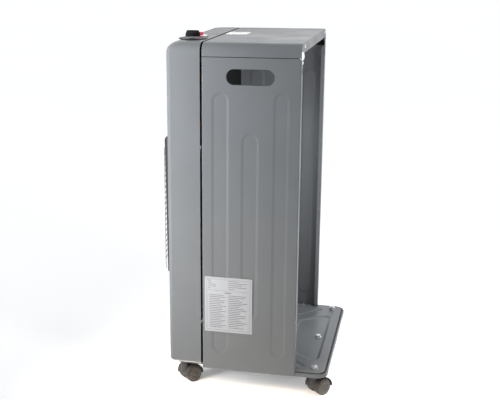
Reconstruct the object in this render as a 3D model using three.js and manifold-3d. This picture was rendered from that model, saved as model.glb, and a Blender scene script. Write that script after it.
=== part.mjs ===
// A mobile gas cabinet heater: a sheet steel cabinet on four castors, open at the back for a gas
// cylinder, with a three plaque burner behind a wire guard and its controls on the top.
// Millimetres, +Z up, front facing -Y. Heights are measured from the floor, and depths from the
// slot between the front fascia and the rear cabinet; the last lines move the assembly so that
// the origin is under the middle of the whole object.

import * as THREE from 'three';
import { mergeVertices } from 'three/addons/utils/BufferGeometryUtils.js';
import Module from 'manifold-3d';

const wasm = await Module();
wasm.setup();

// ---- Driving dimensions ------------------------------------------------------------------

const WIDTH = 420;
const TOP = 762;
const PANEL_BOTTOM = 50;
const BODY_DEPTH = 206;
const FASCIA_DEPTH = 74;
const SHELF_REACH = 68.5;
const SHEET = 1.2;
const EDGE_RADIUS = 20;
const GAP = 4;
const FIT = 0.3;

const HALF = WIDTH / 2;
const SLOT_BACK = GAP / 2;
const INNER_HALF = HALF - SHEET - FIT;
const SHELF_BACK = BODY_DEPTH + SHELF_REACH;
const SHELF_TOP = PANEL_BOTTOM + 9.5;
const ARC = 5;

const SKIRT = 27.6;
const SKIRT_BOTTOM = TOP - SKIRT;
const REAR_FLANGE = 20;
const FASCIA_BOTTOM = PANEL_BOTTOM + 5.5;
const FASCIA_FOOT_RADIUS = 12;
const FASCIA_CORNER_RADIUS = 9;

const WINDOW = { halfWidth: 162, bottom: 272, top: 526 };
const CONTROL_Y = -37;
const KNOB_X = 126;
const BUTTON_X = 62;
const DIAL_TOP = TOP + 2;
const DIAL_UNDERSIDE = TOP - 12;
const KNOB_BOTTOM = DIAL_TOP + 3.5;
const KNOB_TOP = TOP + 18.5;
const SPINDLE_TOP = TOP + 12;
const SPINDLE_HOLE = 9;
const BUTTON_HOLE = 8;
const BUTTON_RADIUS = 6.8;
const TOP_SCREW = { x: 173, drop: 7, hole: 2.3 };
const INLET = { x: 150, z: 655, hole: 6.2 };

const BURNER = { width: 96, height: 212, bottom: 294, front: -46, back: -12, pitch: 104 };
const PARTITION = { front: 0.4, back: 1.6, clearance: 2.3 };
const VENTS = { xs: [-120, -72, -24, 24, 72, 120], halfWidth: 18, bottom: 560, top: 566 };
const BASE_NOSE = { half: 193, front: -60, radius: 8, clearance: 1.5 };
const SHELF_RADIUS = 26;
const SEAT = { front: 176, frontHalf: 89, back: 246, backHalf: 143, depth: 2.2 };
const SHELF_BOLT = { y: 231, hole: 3.4, shank: 3, flats: 12, head: 5.5, washer: 8, length: 10 };

const CASTOR = {
  x: 180,
  frontY: -46,
  rearY: 245,
  trail: 14,
  wheelRadius: 19,
  wheelWidth: 14.5,
  webHalf: 4.75,
  axleGap: 0.5,
  hoodRadius: 22,
  hoodHalf: 20.5,
  bossRadius: 9.5,
  bossTop: 53.1,
  axleRadius: 3,
  stemRadius: 4,
  collarRadius: 8,
  stemTop: SHELF_TOP + 8,
  nutFlats: 13,
  nutTop: SHELF_TOP + 6,
  tyreGap: 1.3,
};
const CASTORS = [
  { name: 'front_right', x: CASTOR.x, y: CASTOR.frontY, turn: 139 },
  { name: 'rear_right', x: CASTOR.x, y: CASTOR.rearY, turn: 139 },
  { name: 'front_left', x: -CASTOR.x, y: CASTOR.frontY, turn: 62 },
  { name: 'rear_left', x: -CASTOR.x, y: CASTOR.rearY, turn: -60 },
];

const GUARD = {
  wire: 1.5,
  halfWidth: 172,
  sideY: -92,
  bulge: 12,
  bottom: 283,
  rows: 20,
  pitch: 12.35,
  hooks: [264, 535],
  hookEnd: -80,
};

// ---- Materials ---------------------------------------------------------------------------

const finish = (color, roughness, metalness) =>
  new THREE.MeshStandardMaterial({ color, roughness, metalness });
const greyPaint = finish(0x85888a, 0.42, 0.35);
const blackPaint = finish(0x1c1c1c, 0.5, 0.2);
const blackPlastic = finish(0x262626, 0.45, 0);
const redPlastic = finish(0xb0182c, 0.35, 0);
const zinc = finish(0xb9bcbc, 0.3, 0.9);
const brass = finish(0xb08d45, 0.35, 0.9);
const aluminised = finish(0xa9abad, 0.35, 0.9);
const ceramic = finish(0xe6dccb, 0.9, 0);
const castorPlastic = finish(0x4a4541, 0.55, 0);
const paperWhite = finish(0xe9eaea, 0.6, 0);
const steelWire = finish(0xc4c6c7, 0.25, 0.9);
const copper = finish(0xa8653c, 0.35, 0.9);

// ---- Helpers -----------------------------------------------------------------------------

const assembly = new THREE.Group();

/** A closed manifold solid from a three.js geometry, with its faces pointing out. */
function solid(geometry) {
  const bare = geometry.clone();
  bare.deleteAttribute('normal');
  bare.deleteAttribute('uv');
  const merged = mergeVertices(bare, 1e-4);
  const position = merged.attributes.position;
  const index = merged.index.array;
  const triangles = [];
  let volume = 0;
  const a = new THREE.Vector3();
  const b = new THREE.Vector3();
  const c = new THREE.Vector3();
  for (let i = 0; i < index.length; i += 3) {
    const [p, q, r] = [index[i], index[i + 1], index[i + 2]];
    if (p === q || q === r || r === p) continue;
    triangles.push(p, q, r);
    a.fromBufferAttribute(position, p);
    b.fromBufferAttribute(position, q);
    c.fromBufferAttribute(position, r);
    volume += a.dot(b.cross(c));
  }
  if (volume < 0) triangles.reverse();
  return new wasm.Manifold(
    new wasm.Mesh({
      numProp: 3,
      vertProperties: new Float32Array(position.array),
      triVerts: new Uint32Array(triangles),
    }),
  );
}

const join = (first, ...others) => others.reduce((whole, piece) => whole.add(piece), first);
const cut = (first, ...others) => others.reduce((whole, piece) => whole.subtract(piece), first);

/** Adds a solid to a group as a named mesh. */
function part(name, body, material, parent = assembly) {
  const data = body.getMesh();
  const geometry = new THREE.BufferGeometry();
  geometry.setAttribute('position', new THREE.BufferAttribute(data.vertProperties, 3));
  geometry.setIndex(new THREE.BufferAttribute(data.triVerts, 1));
  const mesh = new THREE.Mesh(geometry, material);
  mesh.name = name;
  parent.add(mesh);
  return mesh;
}

/** A box from its lowest to its highest corner. */
function box(x0, y0, z0, x1, y1, z1) {
  const geometry = new THREE.BoxGeometry(x1 - x0, y1 - y0, z1 - z0);
  return solid(geometry.translate((x0 + x1) / 2, (y0 + y1) / 2, (z0 + z1) / 2));
}

const extrusion = (shape, depth, curveSegments = ARC) =>
  new THREE.ExtrudeGeometry(shape, { depth, bevelEnabled: false, curveSegments });

/** A plan (x, y) outline raised from z0 to z1. */
const alongZ = (shape, z0, z1) => solid(extrusion(shape, z1 - z0).translate(0, 0, z0));

/** A front view (x, z) outline pushed from y0 to y1. */
const alongY = (shape, y0, y1) =>
  solid(extrusion(shape, y1 - y0).rotateX(Math.PI / 2).translate(0, y1, 0));

/** A side view (y, z) outline pushed from x0 to x1. */
function alongX(shape, x0, x1, curveSegments = ARC) {
  const turn = new THREE.Matrix4().set(0, 0, 1, x0, 1, 0, 0, 0, 0, 1, 0, 0, 0, 0, 0, 1);
  return solid(extrusion(shape, x1 - x0, curveSegments).applyMatrix4(turn));
}

/** A rectangle whose corners are rounded: low left, low right, high right, high left. */
function roundedRect(u0, v0, u1, v1, [r0, r1, r2, r3]) {
  const shape = new THREE.Shape();
  shape.moveTo(u0 + r0, v0);
  shape.lineTo(u1 - r1, v0);
  if (r1) shape.absarc(u1 - r1, v0 + r1, r1, -Math.PI / 2, 0);
  shape.lineTo(u1, v1 - r2);
  if (r2) shape.absarc(u1 - r2, v1 - r2, r2, 0, Math.PI / 2);
  shape.lineTo(u0 + r3, v1);
  if (r3) shape.absarc(u0 + r3, v1 - r3, r3, Math.PI / 2, Math.PI);
  shape.lineTo(u0, v0 + r0);
  if (r0) shape.absarc(u0 + r0, v0 + r0, r0, Math.PI, Math.PI * 1.5);
  return shape;
}

/** A slot outline with round ends, as wide or tall as its box. */
function stadium(u0, v0, u1, v1) {
  const r = Math.min(u1 - u0, v1 - v0) / 2;
  return roundedRect(u0, v0, u1, v1, [r, r, r, r]);
}

function polygon(points) {
  return new THREE.Shape(points.map(([u, v]) => new THREE.Vector2(u, v)));
}

/** A turned piece about +Z, from [radius, height] points. */
function turned(points, segments = 16) {
  const profile = points.map(([r, z]) => new THREE.Vector2(r, z));
  return solid(new THREE.LatheGeometry(profile, segments).rotateX(Math.PI / 2));
}

const rod = (radius, z0, z1, segments = 16) =>
  turned([[0, z0], [radius, z0], [radius, z1], [0, z1]], segments);

const washer = (inner, outer, z0, z1, segments = 16) =>
  turned([[inner, z0], [outer, z0], [outer, z1], [inner, z1], [inner, z0]], segments);

/** A hexagonal prism across flats, with a round hole. */
function nut(acrossFlats, hole, z0, z1) {
  const body = rod(acrossFlats / Math.sqrt(3), z0, z1, 6);
  return body.subtract(rod(hole, z0 - 1, z1 + 1, 12));
}

/** A round tube or wire along a smooth curve through the points. */
function swept(points, radius, steps, sides = 6) {
  const path = new THREE.CatmullRomCurve3(
    points.map((p) => new THREE.Vector3(...p)), false, 'catmullrom', 0.35,
  );
  const section = new THREE.Shape();
  for (let i = 0; i < sides; i++) {
    const angle = (i / sides) * Math.PI * 2;
    const [u, v] = [radius * Math.cos(angle), radius * Math.sin(angle)];
    if (i) section.lineTo(u, v);
    else section.moveTo(u, v);
  }
  const geometry = new THREE.ExtrudeGeometry(section, { steps, extrudePath: path });
  return solid(geometry);
}

// ---- Front fascia ------------------------------------------------------------------------

/** The fascia's outer form, drawn in by a sheet's thickness for its inside. */
function fasciaForm(inset, back) {
  const [half, top, front] = [HALF - inset, TOP - inset, -FASCIA_DEPTH + inset];
  const bottom = FASCIA_BOTTOM + inset;
  const edge = EDGE_RADIUS - inset;
  const foot = FASCIA_FOOT_RADIUS - inset;
  const corner = FASCIA_CORNER_RADIUS - inset;
  const frontView = roundedRect(-half, bottom, half, top, [foot, foot, edge, edge]);
  const sideView = roundedRect(front, bottom, back, top, [foot, 0, 0, edge]);
  const plan = roundedRect(-half, front, half, back, [corner, corner, 0, 0]);
  return alongY(frontView, front, back)
    .intersect(alongX(sideView, -half, half))
    .intersect(alongZ(plan, bottom, top));
}

/** Drills for the valve spindle and the igniter button, through the top. */
function controlHoles(buttonHole) {
  return [[KNOB_X, SPINDLE_HOLE], [BUTTON_X, buttonHole]].map(([x, radius]) =>
    rod(radius, TOP - 10, TOP + 10).translate([x, CONTROL_Y, 0]));
}

function frontFascia() {
  const shell = fasciaForm(0, -SLOT_BACK).subtract(fasciaForm(SHEET, SLOT_BACK));
  const noseHalf = BASE_NOSE.half + BASE_NOSE.clearance;
  const noseFront = BASE_NOSE.front - BASE_NOSE.clearance;
  const floorOpening = box(-noseHalf, noseFront, PANEL_BOTTOM, noseHalf, 0, FASCIA_BOTTOM + 4);
  const { halfWidth, bottom, top } = WINDOW;
  const window = box(-halfWidth, -FASCIA_DEPTH - 5, bottom, halfWidth, -FASCIA_DEPTH + 5, top);
  return cut(shell, floorOpening, window, ...controlHoles(BUTTON_HOLE));
}

part('front_fascia', frontFascia(), greyPaint);

// ---- Top cover, side panels and partition --------------------------------------------------

function topCover() {
  const outer = roundedRect(-HALF, SKIRT_BOTTOM, HALF, TOP, [0, 0, EDGE_RADIUS, EDGE_RADIUS]);
  const r = EDGE_RADIUS - SHEET;
  const inside = roundedRect(
    -HALF + SHEET, SKIRT_BOTTOM - 1, HALF - SHEET, TOP - SHEET, [0, 0, r, r],
  );
  const shell = alongY(outer, SLOT_BACK, BODY_DEPTH)
    .subtract(alongY(inside, 0, BODY_DEPTH - SHEET));
  const flangeEnd = TOP - REAR_FLANGE;
  const underFlange = box(
    -HALF + SHEET, BODY_DEPTH - SHEET - 1, SKIRT_BOTTOM - 1,
    HALF - SHEET, BODY_DEPTH + 1, flangeEnd,
  );
  const screwHoles = [-TOP_SCREW.x, TOP_SCREW.x].map((x) => rod(TOP_SCREW.hole, -5, 5, 12)
    .rotate([90, 0, 0])
    .translate([x, BODY_DEPTH, TOP - TOP_SCREW.drop]));
  return cut(shell, underFlange, ...screwHoles);
}

part('top_cover', topCover(), greyPaint);

const RIBS = [
  { y0: 24.5, y1: 56.5, z0: 90, z1: 660 },
  { y0: 87.5, y1: 119.5, z0: 173, z1: 577 },
  { y0: 153.5, y1: 181.5, z0: 92, z1: 661 },
];
const RIB_DEPTH = 1.4;
const HANDLE = { y0: 53, y1: 153, z0: 678, z1: 710 };
const PANEL_FLANGE = 20;
const PANEL_LIP = 8;
const FRONT_FLANGE = 14;
const TONGUE = { front: 22, back: 202, root: 8, topDrop: 0.5 };

/** The panel on the +X side, with its pressed ribs, hand slot, both flanges and top tongue. */
function sidePanel() {
  const inner = HALF - SHEET;
  const tongueTop = TOP - EDGE_RADIUS - TONGUE.topDrop;
  const flangeIn = HALF - PANEL_FLANGE;
  const panelTop = SKIRT_BOTTOM - FIT;
  const tongueBottom = panelTop - TONGUE.root;
  const skin = box(inner, SLOT_BACK, PANEL_BOTTOM, HALF, BODY_DEPTH, panelTop);
  const ribBacks = RIBS.map(({ y0, y1, z0, z1 }) => alongX(
    stadium(y0 - SHEET, z0 - SHEET, y1 + SHEET, z1 + SHEET), inner - RIB_DEPTH, inner + 0.6, 3,
  ));
  const ribFronts = RIBS.map(({ y0, y1, z0, z1 }) =>
    alongX(stadium(y0, z0, y1, z1), HALF - RIB_DEPTH, HALF + 1, 3));
  const { y0, y1, z0, z1 } = HANDLE;
  const slot = alongX(stadium(y0, z0, y1, z1), inner - 10, HALF + 10);
  const [tongueIn, tongueOut] = [inner - FIT - SHEET, inner - FIT];
  const { front, back } = TONGUE;
  const tongueRoot = box(tongueIn, front, tongueBottom, inner + 0.5, back, panelTop);
  const tongue = box(tongueIn, front, tongueBottom, tongueOut, back, tongueTop);
  const y = BODY_DEPTH - SHEET;
  const z = SHELF_TOP + FIT;
  const flange = box(flangeIn, y, z, inner + 0.5, BODY_DEPTH, panelTop);
  const flangeTop = box(flangeIn, y, panelTop - 1, inner - FIT, BODY_DEPTH, tongueTop);
  const lip = box(flangeIn, BODY_DEPTH - PANEL_LIP, z, flangeIn + SHEET, BODY_DEPTH, tongueTop);
  const frontFlange = box(
    inner - FRONT_FLANGE, SLOT_BACK, z, inner + 0.5, SLOT_BACK + SHEET, panelTop,
  );
  const body = join(skin, ...ribBacks, frontFlange, tongueRoot, tongue, flange, flangeTop, lip);
  return cut(body, ...ribFronts, slot);
}

part('side_panel_right', sidePanel(), greyPaint);
part('side_panel_left', sidePanel().mirror([1, 0, 0]), greyPaint);

function partitionPanel() {
  const { front, back, clearance } = PARTITION;
  const inset = SHEET + clearance;
  const [half, top, r] = [HALF - inset, TOP - inset, EDGE_RADIUS - inset];
  const bottom = SHELF_TOP + FIT;
  const outline = roundedRect(-half, bottom, half, top, [0, 0, r, r]);
  const plate = alongY(outline, front, back);
  const nozzleHole = rod(INLET.hole, -5, 5).rotate([90, 0, 0]).translate([INLET.x, 0, INLET.z]);
  const vents = VENTS.xs.map((x) =>
    box(x - VENTS.halfWidth, -3, VENTS.bottom, x + VENTS.halfWidth, 3, VENTS.top));
  return cut(plate, nozzleHole, ...vents);
}

part('partition_panel', partitionPanel(), blackPaint);

// ---- Base plate with the cylinder shelf -----------------------------------------------------

function baseOutline(inset) {
  const [half, back, front] = [INNER_HALF - inset, SHELF_BACK - inset, BASE_NOSE.front + inset];
  const [noseHalf, step] = [BASE_NOSE.half - inset, SLOT_BACK + FIT + inset];
  const [r, s] = [SHELF_RADIUS - inset, BASE_NOSE.radius - inset];
  const shape = new THREE.Shape();
  shape.moveTo(-noseHalf + s, front);
  shape.lineTo(noseHalf - s, front);
  shape.absarc(noseHalf - s, front + s, s, -Math.PI / 2, 0);
  shape.lineTo(noseHalf, step);
  shape.lineTo(half, step);
  shape.lineTo(half, back - r);
  shape.absarc(half - r, back - r, r, 0, Math.PI / 2);
  shape.lineTo(-half + r, back);
  shape.absarc(-half + r, back - r, r, Math.PI / 2, Math.PI);
  shape.lineTo(-half, step);
  shape.lineTo(-noseHalf, step);
  shape.lineTo(-noseHalf, front + s);
  shape.absarc(-noseHalf + s, front + s, s, Math.PI, Math.PI * 1.5);
  return shape;
}

function cylinderSeat(grow) {
  const [front, back] = [SEAT.front - grow, SEAT.back + grow];
  const [frontHalf, backHalf] = [SEAT.frontHalf + grow, SEAT.backHalf + grow * 2];
  return polygon([
    [-frontHalf, front], [frontHalf, front], [backHalf, back], [-backHalf, back],
  ]);
}

function basePlate() {
  const underside = SHELF_TOP - SHEET;
  const tray = alongZ(baseOutline(0), PANEL_BOTTOM, SHELF_TOP)
    .subtract(alongZ(baseOutline(SHEET), PANEL_BOTTOM - 1, underside));
  const seatBack = alongZ(cylinderSeat(SHEET), underside - SEAT.depth, underside + SHEET / 2);
  const seatFront = alongZ(cylinderSeat(0), SHELF_TOP - SEAT.depth, SHELF_TOP + 1);
  const stemHoles = CASTORS.map(({ x, y }) =>
    rod(CASTOR.stemRadius + 0.4, PANEL_BOTTOM, SHELF_TOP + 5).translate([x, y, 0]));
  const boltHole = rod(SHELF_BOLT.hole, PANEL_BOTTOM, SHELF_TOP + 5, 12)
    .translate([0, SHELF_BOLT.y, 0]);
  return cut(tray.add(seatBack), seatFront, ...stemHoles, boltHole);
}

part('base_plate', basePlate(), greyPaint);

// ---- Burner window: surround, reflector and guard ------------------------------------------

const SURROUND = {
  halfWidth: 180, bottom: 257, top: 562, foot: -84, brow: -88, wall: 1.5, browRadius: 11, corner: 5,
};

function surroundForm(inset, back) {
  const { halfWidth, bottom, top, foot, brow, browRadius } = SURROUND;
  const [low, high, r] = [bottom + inset, top - inset, browRadius - inset];
  const side = new THREE.Shape();
  side.moveTo(back, low);
  side.lineTo(back, high);
  side.lineTo(brow + inset + r, high);
  side.absarc(brow + inset + r, high - r, r, Math.PI / 2, Math.PI);
  side.lineTo(foot + inset, low + 3);
  side.lineTo(foot + inset + 3, low);
  const [half, corner] = [halfWidth - inset, SURROUND.corner - inset];
  const plan = roundedRect(-half, brow + inset, half, back, [corner, corner, 0, 0]);
  return alongX(side, -half, half).intersect(alongZ(plan, low, high));
}

function burnerSurround() {
  const back = -FASCIA_DEPTH - FIT;
  const { halfWidth, bottom, top } = WINDOW;
  const { wall, brow, foot } = SURROUND;
  const through = (grow) => box(
    -halfWidth - grow, brow - 7, bottom - grow, halfWidth + grow, back + 5, top + grow,
  );
  const opening = through(0);
  const hollow = surroundForm(wall, back + 1).subtract(through(wall));
  const hookHoles = [-1, 1].flatMap((side) => GUARD.hooks.map((z) => rod(2.2, -6, 6, 10)
    .rotate([90, 0, 0])
    .translate([side * GUARD.halfWidth, foot - 2, z])));
  return cut(surroundForm(0, back), opening, hollow, ...hookHoles);
}

part('burner_surround', burnerSurround(), blackPaint);

/** A frustum between two rectangles, at the front and at the back. */
function frustum(front, back) {
  const corners = ([half, low, high], y) => [
    [-half, y, low], [half, y, low], [half, y, high], [-half, y, high],
  ];
  const points = [...corners(front, front[3]), ...corners(back, back[3])];
  const quads = [[0, 1, 2, 3], [7, 6, 5, 4], [4, 5, 1, 0], [5, 6, 2, 1], [6, 7, 3, 2], [7, 4, 0, 3]];
  const geometry = new THREE.BufferGeometry();
  const positions = new Float32Array(points.flat());
  geometry.setAttribute('position', new THREE.BufferAttribute(positions, 3));
  geometry.setIndex(quads.flatMap(([a, b, c, d]) => [a, b, c, a, c, d]));
  return solid(geometry);
}

const PILOT = { x0: 8, x1: 52, shelf: 266, y: -55, jetX: 20, probeX: 32, electrodeX: 43 };

function reflector() {
  const [frontY, backY] = [-FASCIA_DEPTH + SHEET + FIT, BURNER.front - 1];
  const [mouth, margin] = [3, 4];
  const [frontHalf, low, high] = [WINDOW.halfWidth + mouth, WINDOW.bottom - margin, WINDOW.top + margin];
  const [bottom, top] = [BURNER.bottom - margin, BURNER.bottom + BURNER.height + margin];
  const backHalf = BURNER.pitch + BURNER.width / 2 + 6;
  const outer = frustum([frontHalf, low, high, frontY], [backHalf, bottom, top, backY]);
  const inner = frustum(
    [frontHalf - SHEET, low + SHEET, high - SHEET, frontY - 0.001],
    [backHalf - SHEET, bottom + SHEET, top - SHEET, backY + 0.001],
  );
  const pilotCut = box(PILOT.x0 - 6, -66, PILOT.shelf - 6, PILOT.x1 + 6, -40, PILOT.shelf + 34);
  return cut(outer, inner, pilotCut);
}

part('reflector', reflector(), aluminised);

function guardGrille() {
  const { wire, halfWidth, sideY, bulge, bottom, rows, pitch, hooks, hookEnd } = GUARD;
  const [low, high] = hooks;
  const levels = Array.from({ length: rows }, (_, i) => bottom + i * pitch);
  const stations = [-1, -0.66, -0.33, 0, 0.33, 0.66, 1];
  const bows = levels.map((z) => swept(
    stations.map((s) => [s * halfWidth, sideY - bulge * (1 - s * s), z]), wire, 4, 4,
  ));
  const sides = [-1, 1].map((side) => swept([
    [side * halfWidth, hookEnd, low],
    [side * halfWidth, sideY + 2, low + 0.5],
    [side * halfWidth, sideY, low + 4],
    [side * halfWidth, sideY, (low + high) / 2],
    [side * halfWidth, sideY, high - 4],
    [side * halfWidth, sideY + 2, high - 0.5],
    [side * halfWidth, hookEnd, high],
  ], wire, 16, 4));
  return join(...sides, ...bows);
}

part('guard_grille', guardGrille(), steelWire);

// ---- Burners -----------------------------------------------------------------------------

const BURNER_TOP = BURNER.bottom + BURNER.height;
const BURNER_INLET_Y = -24;
const PLAQUE_GAP = 0.5;
const BURNERS = [
  { name: 'left', x: -BURNER.pitch },
  { name: 'centre', x: 0 },
  { name: 'right', x: BURNER.pitch },
];

function burnerBox() {
  const [half, { bottom, front, back }] = [BURNER.width / 2, BURNER];
  const body = box(-half, front, bottom, half, back, BURNER_TOP);
  const hollow = box(
    -half + SHEET, front - 1, bottom + SHEET, half - SHEET, back - SHEET, BURNER_TOP - SHEET,
  );
  const inlet = rod(6, BURNER_TOP - 5, BURNER_TOP + 5).translate([0, BURNER_INLET_Y, 0]);
  return cut(body, hollow, inlet);
}

function ceramicPlaque() {
  const inset = SHEET + PLAQUE_GAP;
  const half = BURNER.width / 2 - inset;
  const [low, high] = [BURNER.bottom + inset, BURNER_TOP - inset];
  return box(-half, BURNER.front + 1, low, half, BURNER.front + 13, high);
}

for (const { name, x } of BURNERS) {
  part(`burner_box_${name}`, burnerBox().translate([x, 0, 0]), aluminised);
  part(`ceramic_plaque_${name}`, ceramicPlaque().translate([x, 0, 0]), ceramic);
}

// ---- Gas train -----------------------------------------------------------------------------

const VALVE = { bottom: 700, shoulder: 738, top: 752, bore: 7.2, floor: 708 };

function gasValve() {
  const block = alongZ(roundedRect(-18, -16, 18, 16, [3, 3, 3, 3]), VALVE.bottom, VALVE.shoulder);
  const neck = rod(11, VALVE.shoulder - 1, VALVE.top);
  const bore = rod(VALVE.bore, VALVE.floor, VALVE.top + 1);
  return block.add(neck).subtract(bore).translate([KNOB_X, CONTROL_Y, 0]);
}

part('gas_valve', gasValve(), brass);

const PIEZO_BOTTOM = 702;
const OUTLET_Y = -29;
const PIPE_TOP = VALVE.bottom - FIT;
const PIPE_END = BURNER_TOP + 2.5;
const PIPES = [
  { name: 'left', from: KNOB_X - 10, to: -BURNER.pitch, turnAt: 672, landAt: 585 },
  { name: 'centre', from: KNOB_X, to: 0, turnAt: 648, landAt: 570 },
  { name: 'right', from: KNOB_X + 10, to: BURNER.pitch, turnAt: 618, landAt: 560 },
];

function gasPipe({ from, to, turnAt, landAt }) {
  return swept([
    [from, OUTLET_Y, PIPE_TOP], [from, OUTLET_Y, turnAt + 6],
    [from + (to - from) * 0.12, OUTLET_Y, turnAt - 6],
    [from + (to - from) * 0.9, OUTLET_Y + 4, landAt + 4],
    [to, BURNER_INLET_Y, landAt - 14], [to, BURNER_INLET_Y, PIPE_END],
  ], 2.5, 15);
}

for (const pipe of PIPES) part(`gas_pipe_${pipe.name}`, gasPipe(pipe), copper);

function inletPipe() {
  return swept([
    [INLET.x, -3.5, INLET.z], [INLET.x, -16, INLET.z], [INLET.x - 4, -34, INLET.z + 5],
    [KNOB_X + 6, -46, INLET.z + 20], [KNOB_X, -47, INLET.z + 34], [KNOB_X, -47, PIPE_TOP],
  ], 3.5, 13);
}

part('inlet_pipe', inletPipe(), copper);

function hoseNozzle() {
  const outline = [
    [2.5, -3], [5.8, -3], [5.8, 1.9], [8.6, 1.9], [8.6, 8], [4.4, 8], [5.4, 13], [4.4, 13],
    [5.4, 20], [4.4, 20], [5.4, 27], [4.2, 32], [2.5, 32], [2.5, -3],
  ];
  return turned(outline, 12).rotate([-90, 0, 0]).translate([INLET.x, 0, INLET.z]);
}

part('hose_nozzle', hoseNozzle(), brass);

function pilotBurner() {
  const { x0, x1, shelf, y, jetX, probeX, electrodeX } = PILOT;
  const bracket = box(x0, y - 5, shelf, x1, y + 7, shelf + 2);
  const back = box(x0, y + 5, shelf, x1, y + 7, shelf + 18);
  const jet = rod(4, shelf, shelf + 26, 16).translate([jetX, y, 0]);
  const probe = rod(2.5, shelf, shelf + 32, 12).translate([probeX, y, 0]);
  const electrode = rod(2, shelf, shelf + 29, 12).translate([electrodeX, y, 0]);
  return join(bracket, back, jet, probe, electrode);
}

part('pilot_burner', pilotBurner(), zinc);

const BEHIND_BURNERS = -6.5;
const VALVE_SIDE = KNOB_X + 18.5;
const LEAD_END = PILOT.shelf - 0.5;

/** A lead that drops from `top` to `low` in the space behind the burners. */
const drop = (x, top, low) => [top, (top + low) / 2, low].map((z) => [x, BEHIND_BURNERS, z]);

function pilotPipe() {
  const { jetX: x, y } = PILOT;
  return swept([
    [VALVE_SIDE, CONTROL_Y, 716], [VALVE_SIDE + 4.5, CONTROL_Y, 716],
    [VALVE_SIDE + 13.5, -30, 708], [166, -16, 690], ...drop(170, 650, 300),
    [160, -10, 268], [120, -26, 254], [60, -46, 250],
    [x + 10, -47, 250], [x, y + 1, 254], [x, y, 260], [x, y, LEAD_END],
  ], 1.8, 26, 5);
}

function thermocoupleLead() {
  const { probeX: x, y } = PILOT;
  return swept([
    [VALVE_SIDE, -28, 726], [VALVE_SIDE + 4.5, -28, 726],
    [VALVE_SIDE + 17.5, -22, 720], [174, -10, 700], ...drop(178, 650, 290),
    [166, -12, 256], [120, -34, 244], [60, -56, 241],
    [x + 4, -57, 245], [x, y - 0.5, 256], [x, y, LEAD_END],
  ], 1.4, 26, 5);
}

function ignitionLead() {
  const { electrodeX: x, y } = PILOT;
  return swept([
    [BUTTON_X, CONTROL_Y, PIEZO_BOTTOM - 0.4], [BUTTON_X, CONTROL_Y, PIEZO_BOTTOM - 10],
    [56, -12, 670], ...drop(52, 650, 320), [52, -16, 272], [x + 3, -40, 257], [x, y + 1, 256],
    [x, y, LEAD_END],
  ], 1.5, 24, 5);
}

part('pilot_pipe', pilotPipe(), aluminised);
part('thermocouple_lead', thermocoupleLead(), copper);
part('ignition_lead', ignitionLead(), blackPlastic);

// ---- Controls ------------------------------------------------------------------------------

const DIAL = { knobEnd: 30, buttonEnd: 18, buttonHole: 7.6 };

/** The dial plate's plan, a teardrop that narrows from the knob to the button. */
function dialForm({ knobEnd, buttonEnd }) {
  const lean = Math.acos((knobEnd - buttonEnd) / (BUTTON_X - KNOB_X));
  const shape = new THREE.Shape();
  shape.absarc(KNOB_X, CONTROL_Y, knobEnd, -lean, lean);
  shape.absarc(BUTTON_X, CONTROL_Y, buttonEnd, lean, 2 * Math.PI - lean);
  return shape;
}

function dialPlate() {
  const { buttonHole } = DIAL;
  const curveSegments = 20;
  const plate = solid(
    extrusion(dialForm(DIAL), DIAL_TOP - DIAL_UNDERSIDE, curveSegments).translate(0, 0, DIAL_UNDERSIDE),
  );
  const seat = fasciaForm(-FIT, -SLOT_BACK);
  return cut(plate, seat, ...controlHoles(buttonHole));
}

part('dial_plate', dialPlate(), blackPlastic);

const atKnob = [KNOB_X, CONTROL_Y, 0];
const atButton = [BUTTON_X, CONTROL_Y, 0];

const SPINDLE = { radius: 3, flange: 5, bottom: 712, shoulder: 715.5 };
const PLUNGER = { inner: 3.4, outer: 6.6, bottom: 716, top: 749 };
const plunger = washer(PLUNGER.inner, PLUNGER.outer, PLUNGER.bottom, PLUNGER.top);

part('valve_plunger', plunger.translate(atKnob), zinc);

function valveSpindle() {
  const { radius, flange, bottom, shoulder } = SPINDLE;
  return turned([
    [0, bottom], [flange, bottom], [flange, shoulder], [radius, shoulder],
    [radius, SPINDLE_TOP], [0, SPINDLE_TOP],
  ]);
}

part('valve_spindle', valveSpindle().translate(atKnob), zinc);

const KNOB = {
  foot: 16, brow: 14, crown: 12.6, browDrop: 1.6,
  hollow: 13, hollowDepth: 2.5, hub: 5.5, bore: 3.3,
  gripReach: 13.8, gripHalf: 2.4, gripRoot: 3.2, gripDepth: 4.4,
};

function controlKnob() {
  const { foot, brow, crown, hollow, hub, bore, gripReach, gripHalf, gripRoot, gripDepth } = KNOB;
  const roof = KNOB_BOTTOM + KNOB.hollowDepth;
  const floor = KNOB_TOP - gripDepth;
  const body = turned([
    [0, KNOB_TOP], [crown, KNOB_TOP], [brow, KNOB_TOP - KNOB.browDrop], [foot, KNOB_BOTTOM],
    [hollow + 0.5, KNOB_BOTTOM], [hollow, roof], [hub, roof], [hub, KNOB_BOTTOM],
    [bore, KNOB_BOTTOM], [bore, SPINDLE_TOP + FIT], [0, SPINDLE_TOP + FIT],
  ], 24);
  const bar = box(-gripHalf, -foot, floor - 0.6, gripHalf, foot, KNOB_TOP);
  const grip = bar.intersect(rod(gripReach, floor - 1, KNOB_TOP + 1, 24));
  const recesses = [-1, 1].map((side) => alongY(
    polygon([
      [side * gripRoot, floor], [side * 20, floor + 1.4], [side * 20, KNOB_TOP + 4],
      [side * (gripHalf + 0.2), KNOB_TOP + 4],
    ]), -20, 20,
  ));
  return cut(body, ...recesses).add(grip);
}

part('control_knob', controlKnob().translate(atKnob), blackPlastic);

function piezoBody() {
  const body = rod(9.5, PIEZO_BOTTOM, TOP - SHEET - FIT);
  const bore = rod(BUTTON_RADIUS + FIT, PIEZO_BOTTOM + 10, TOP);
  return body.subtract(bore).translate(atButton);
}

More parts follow.
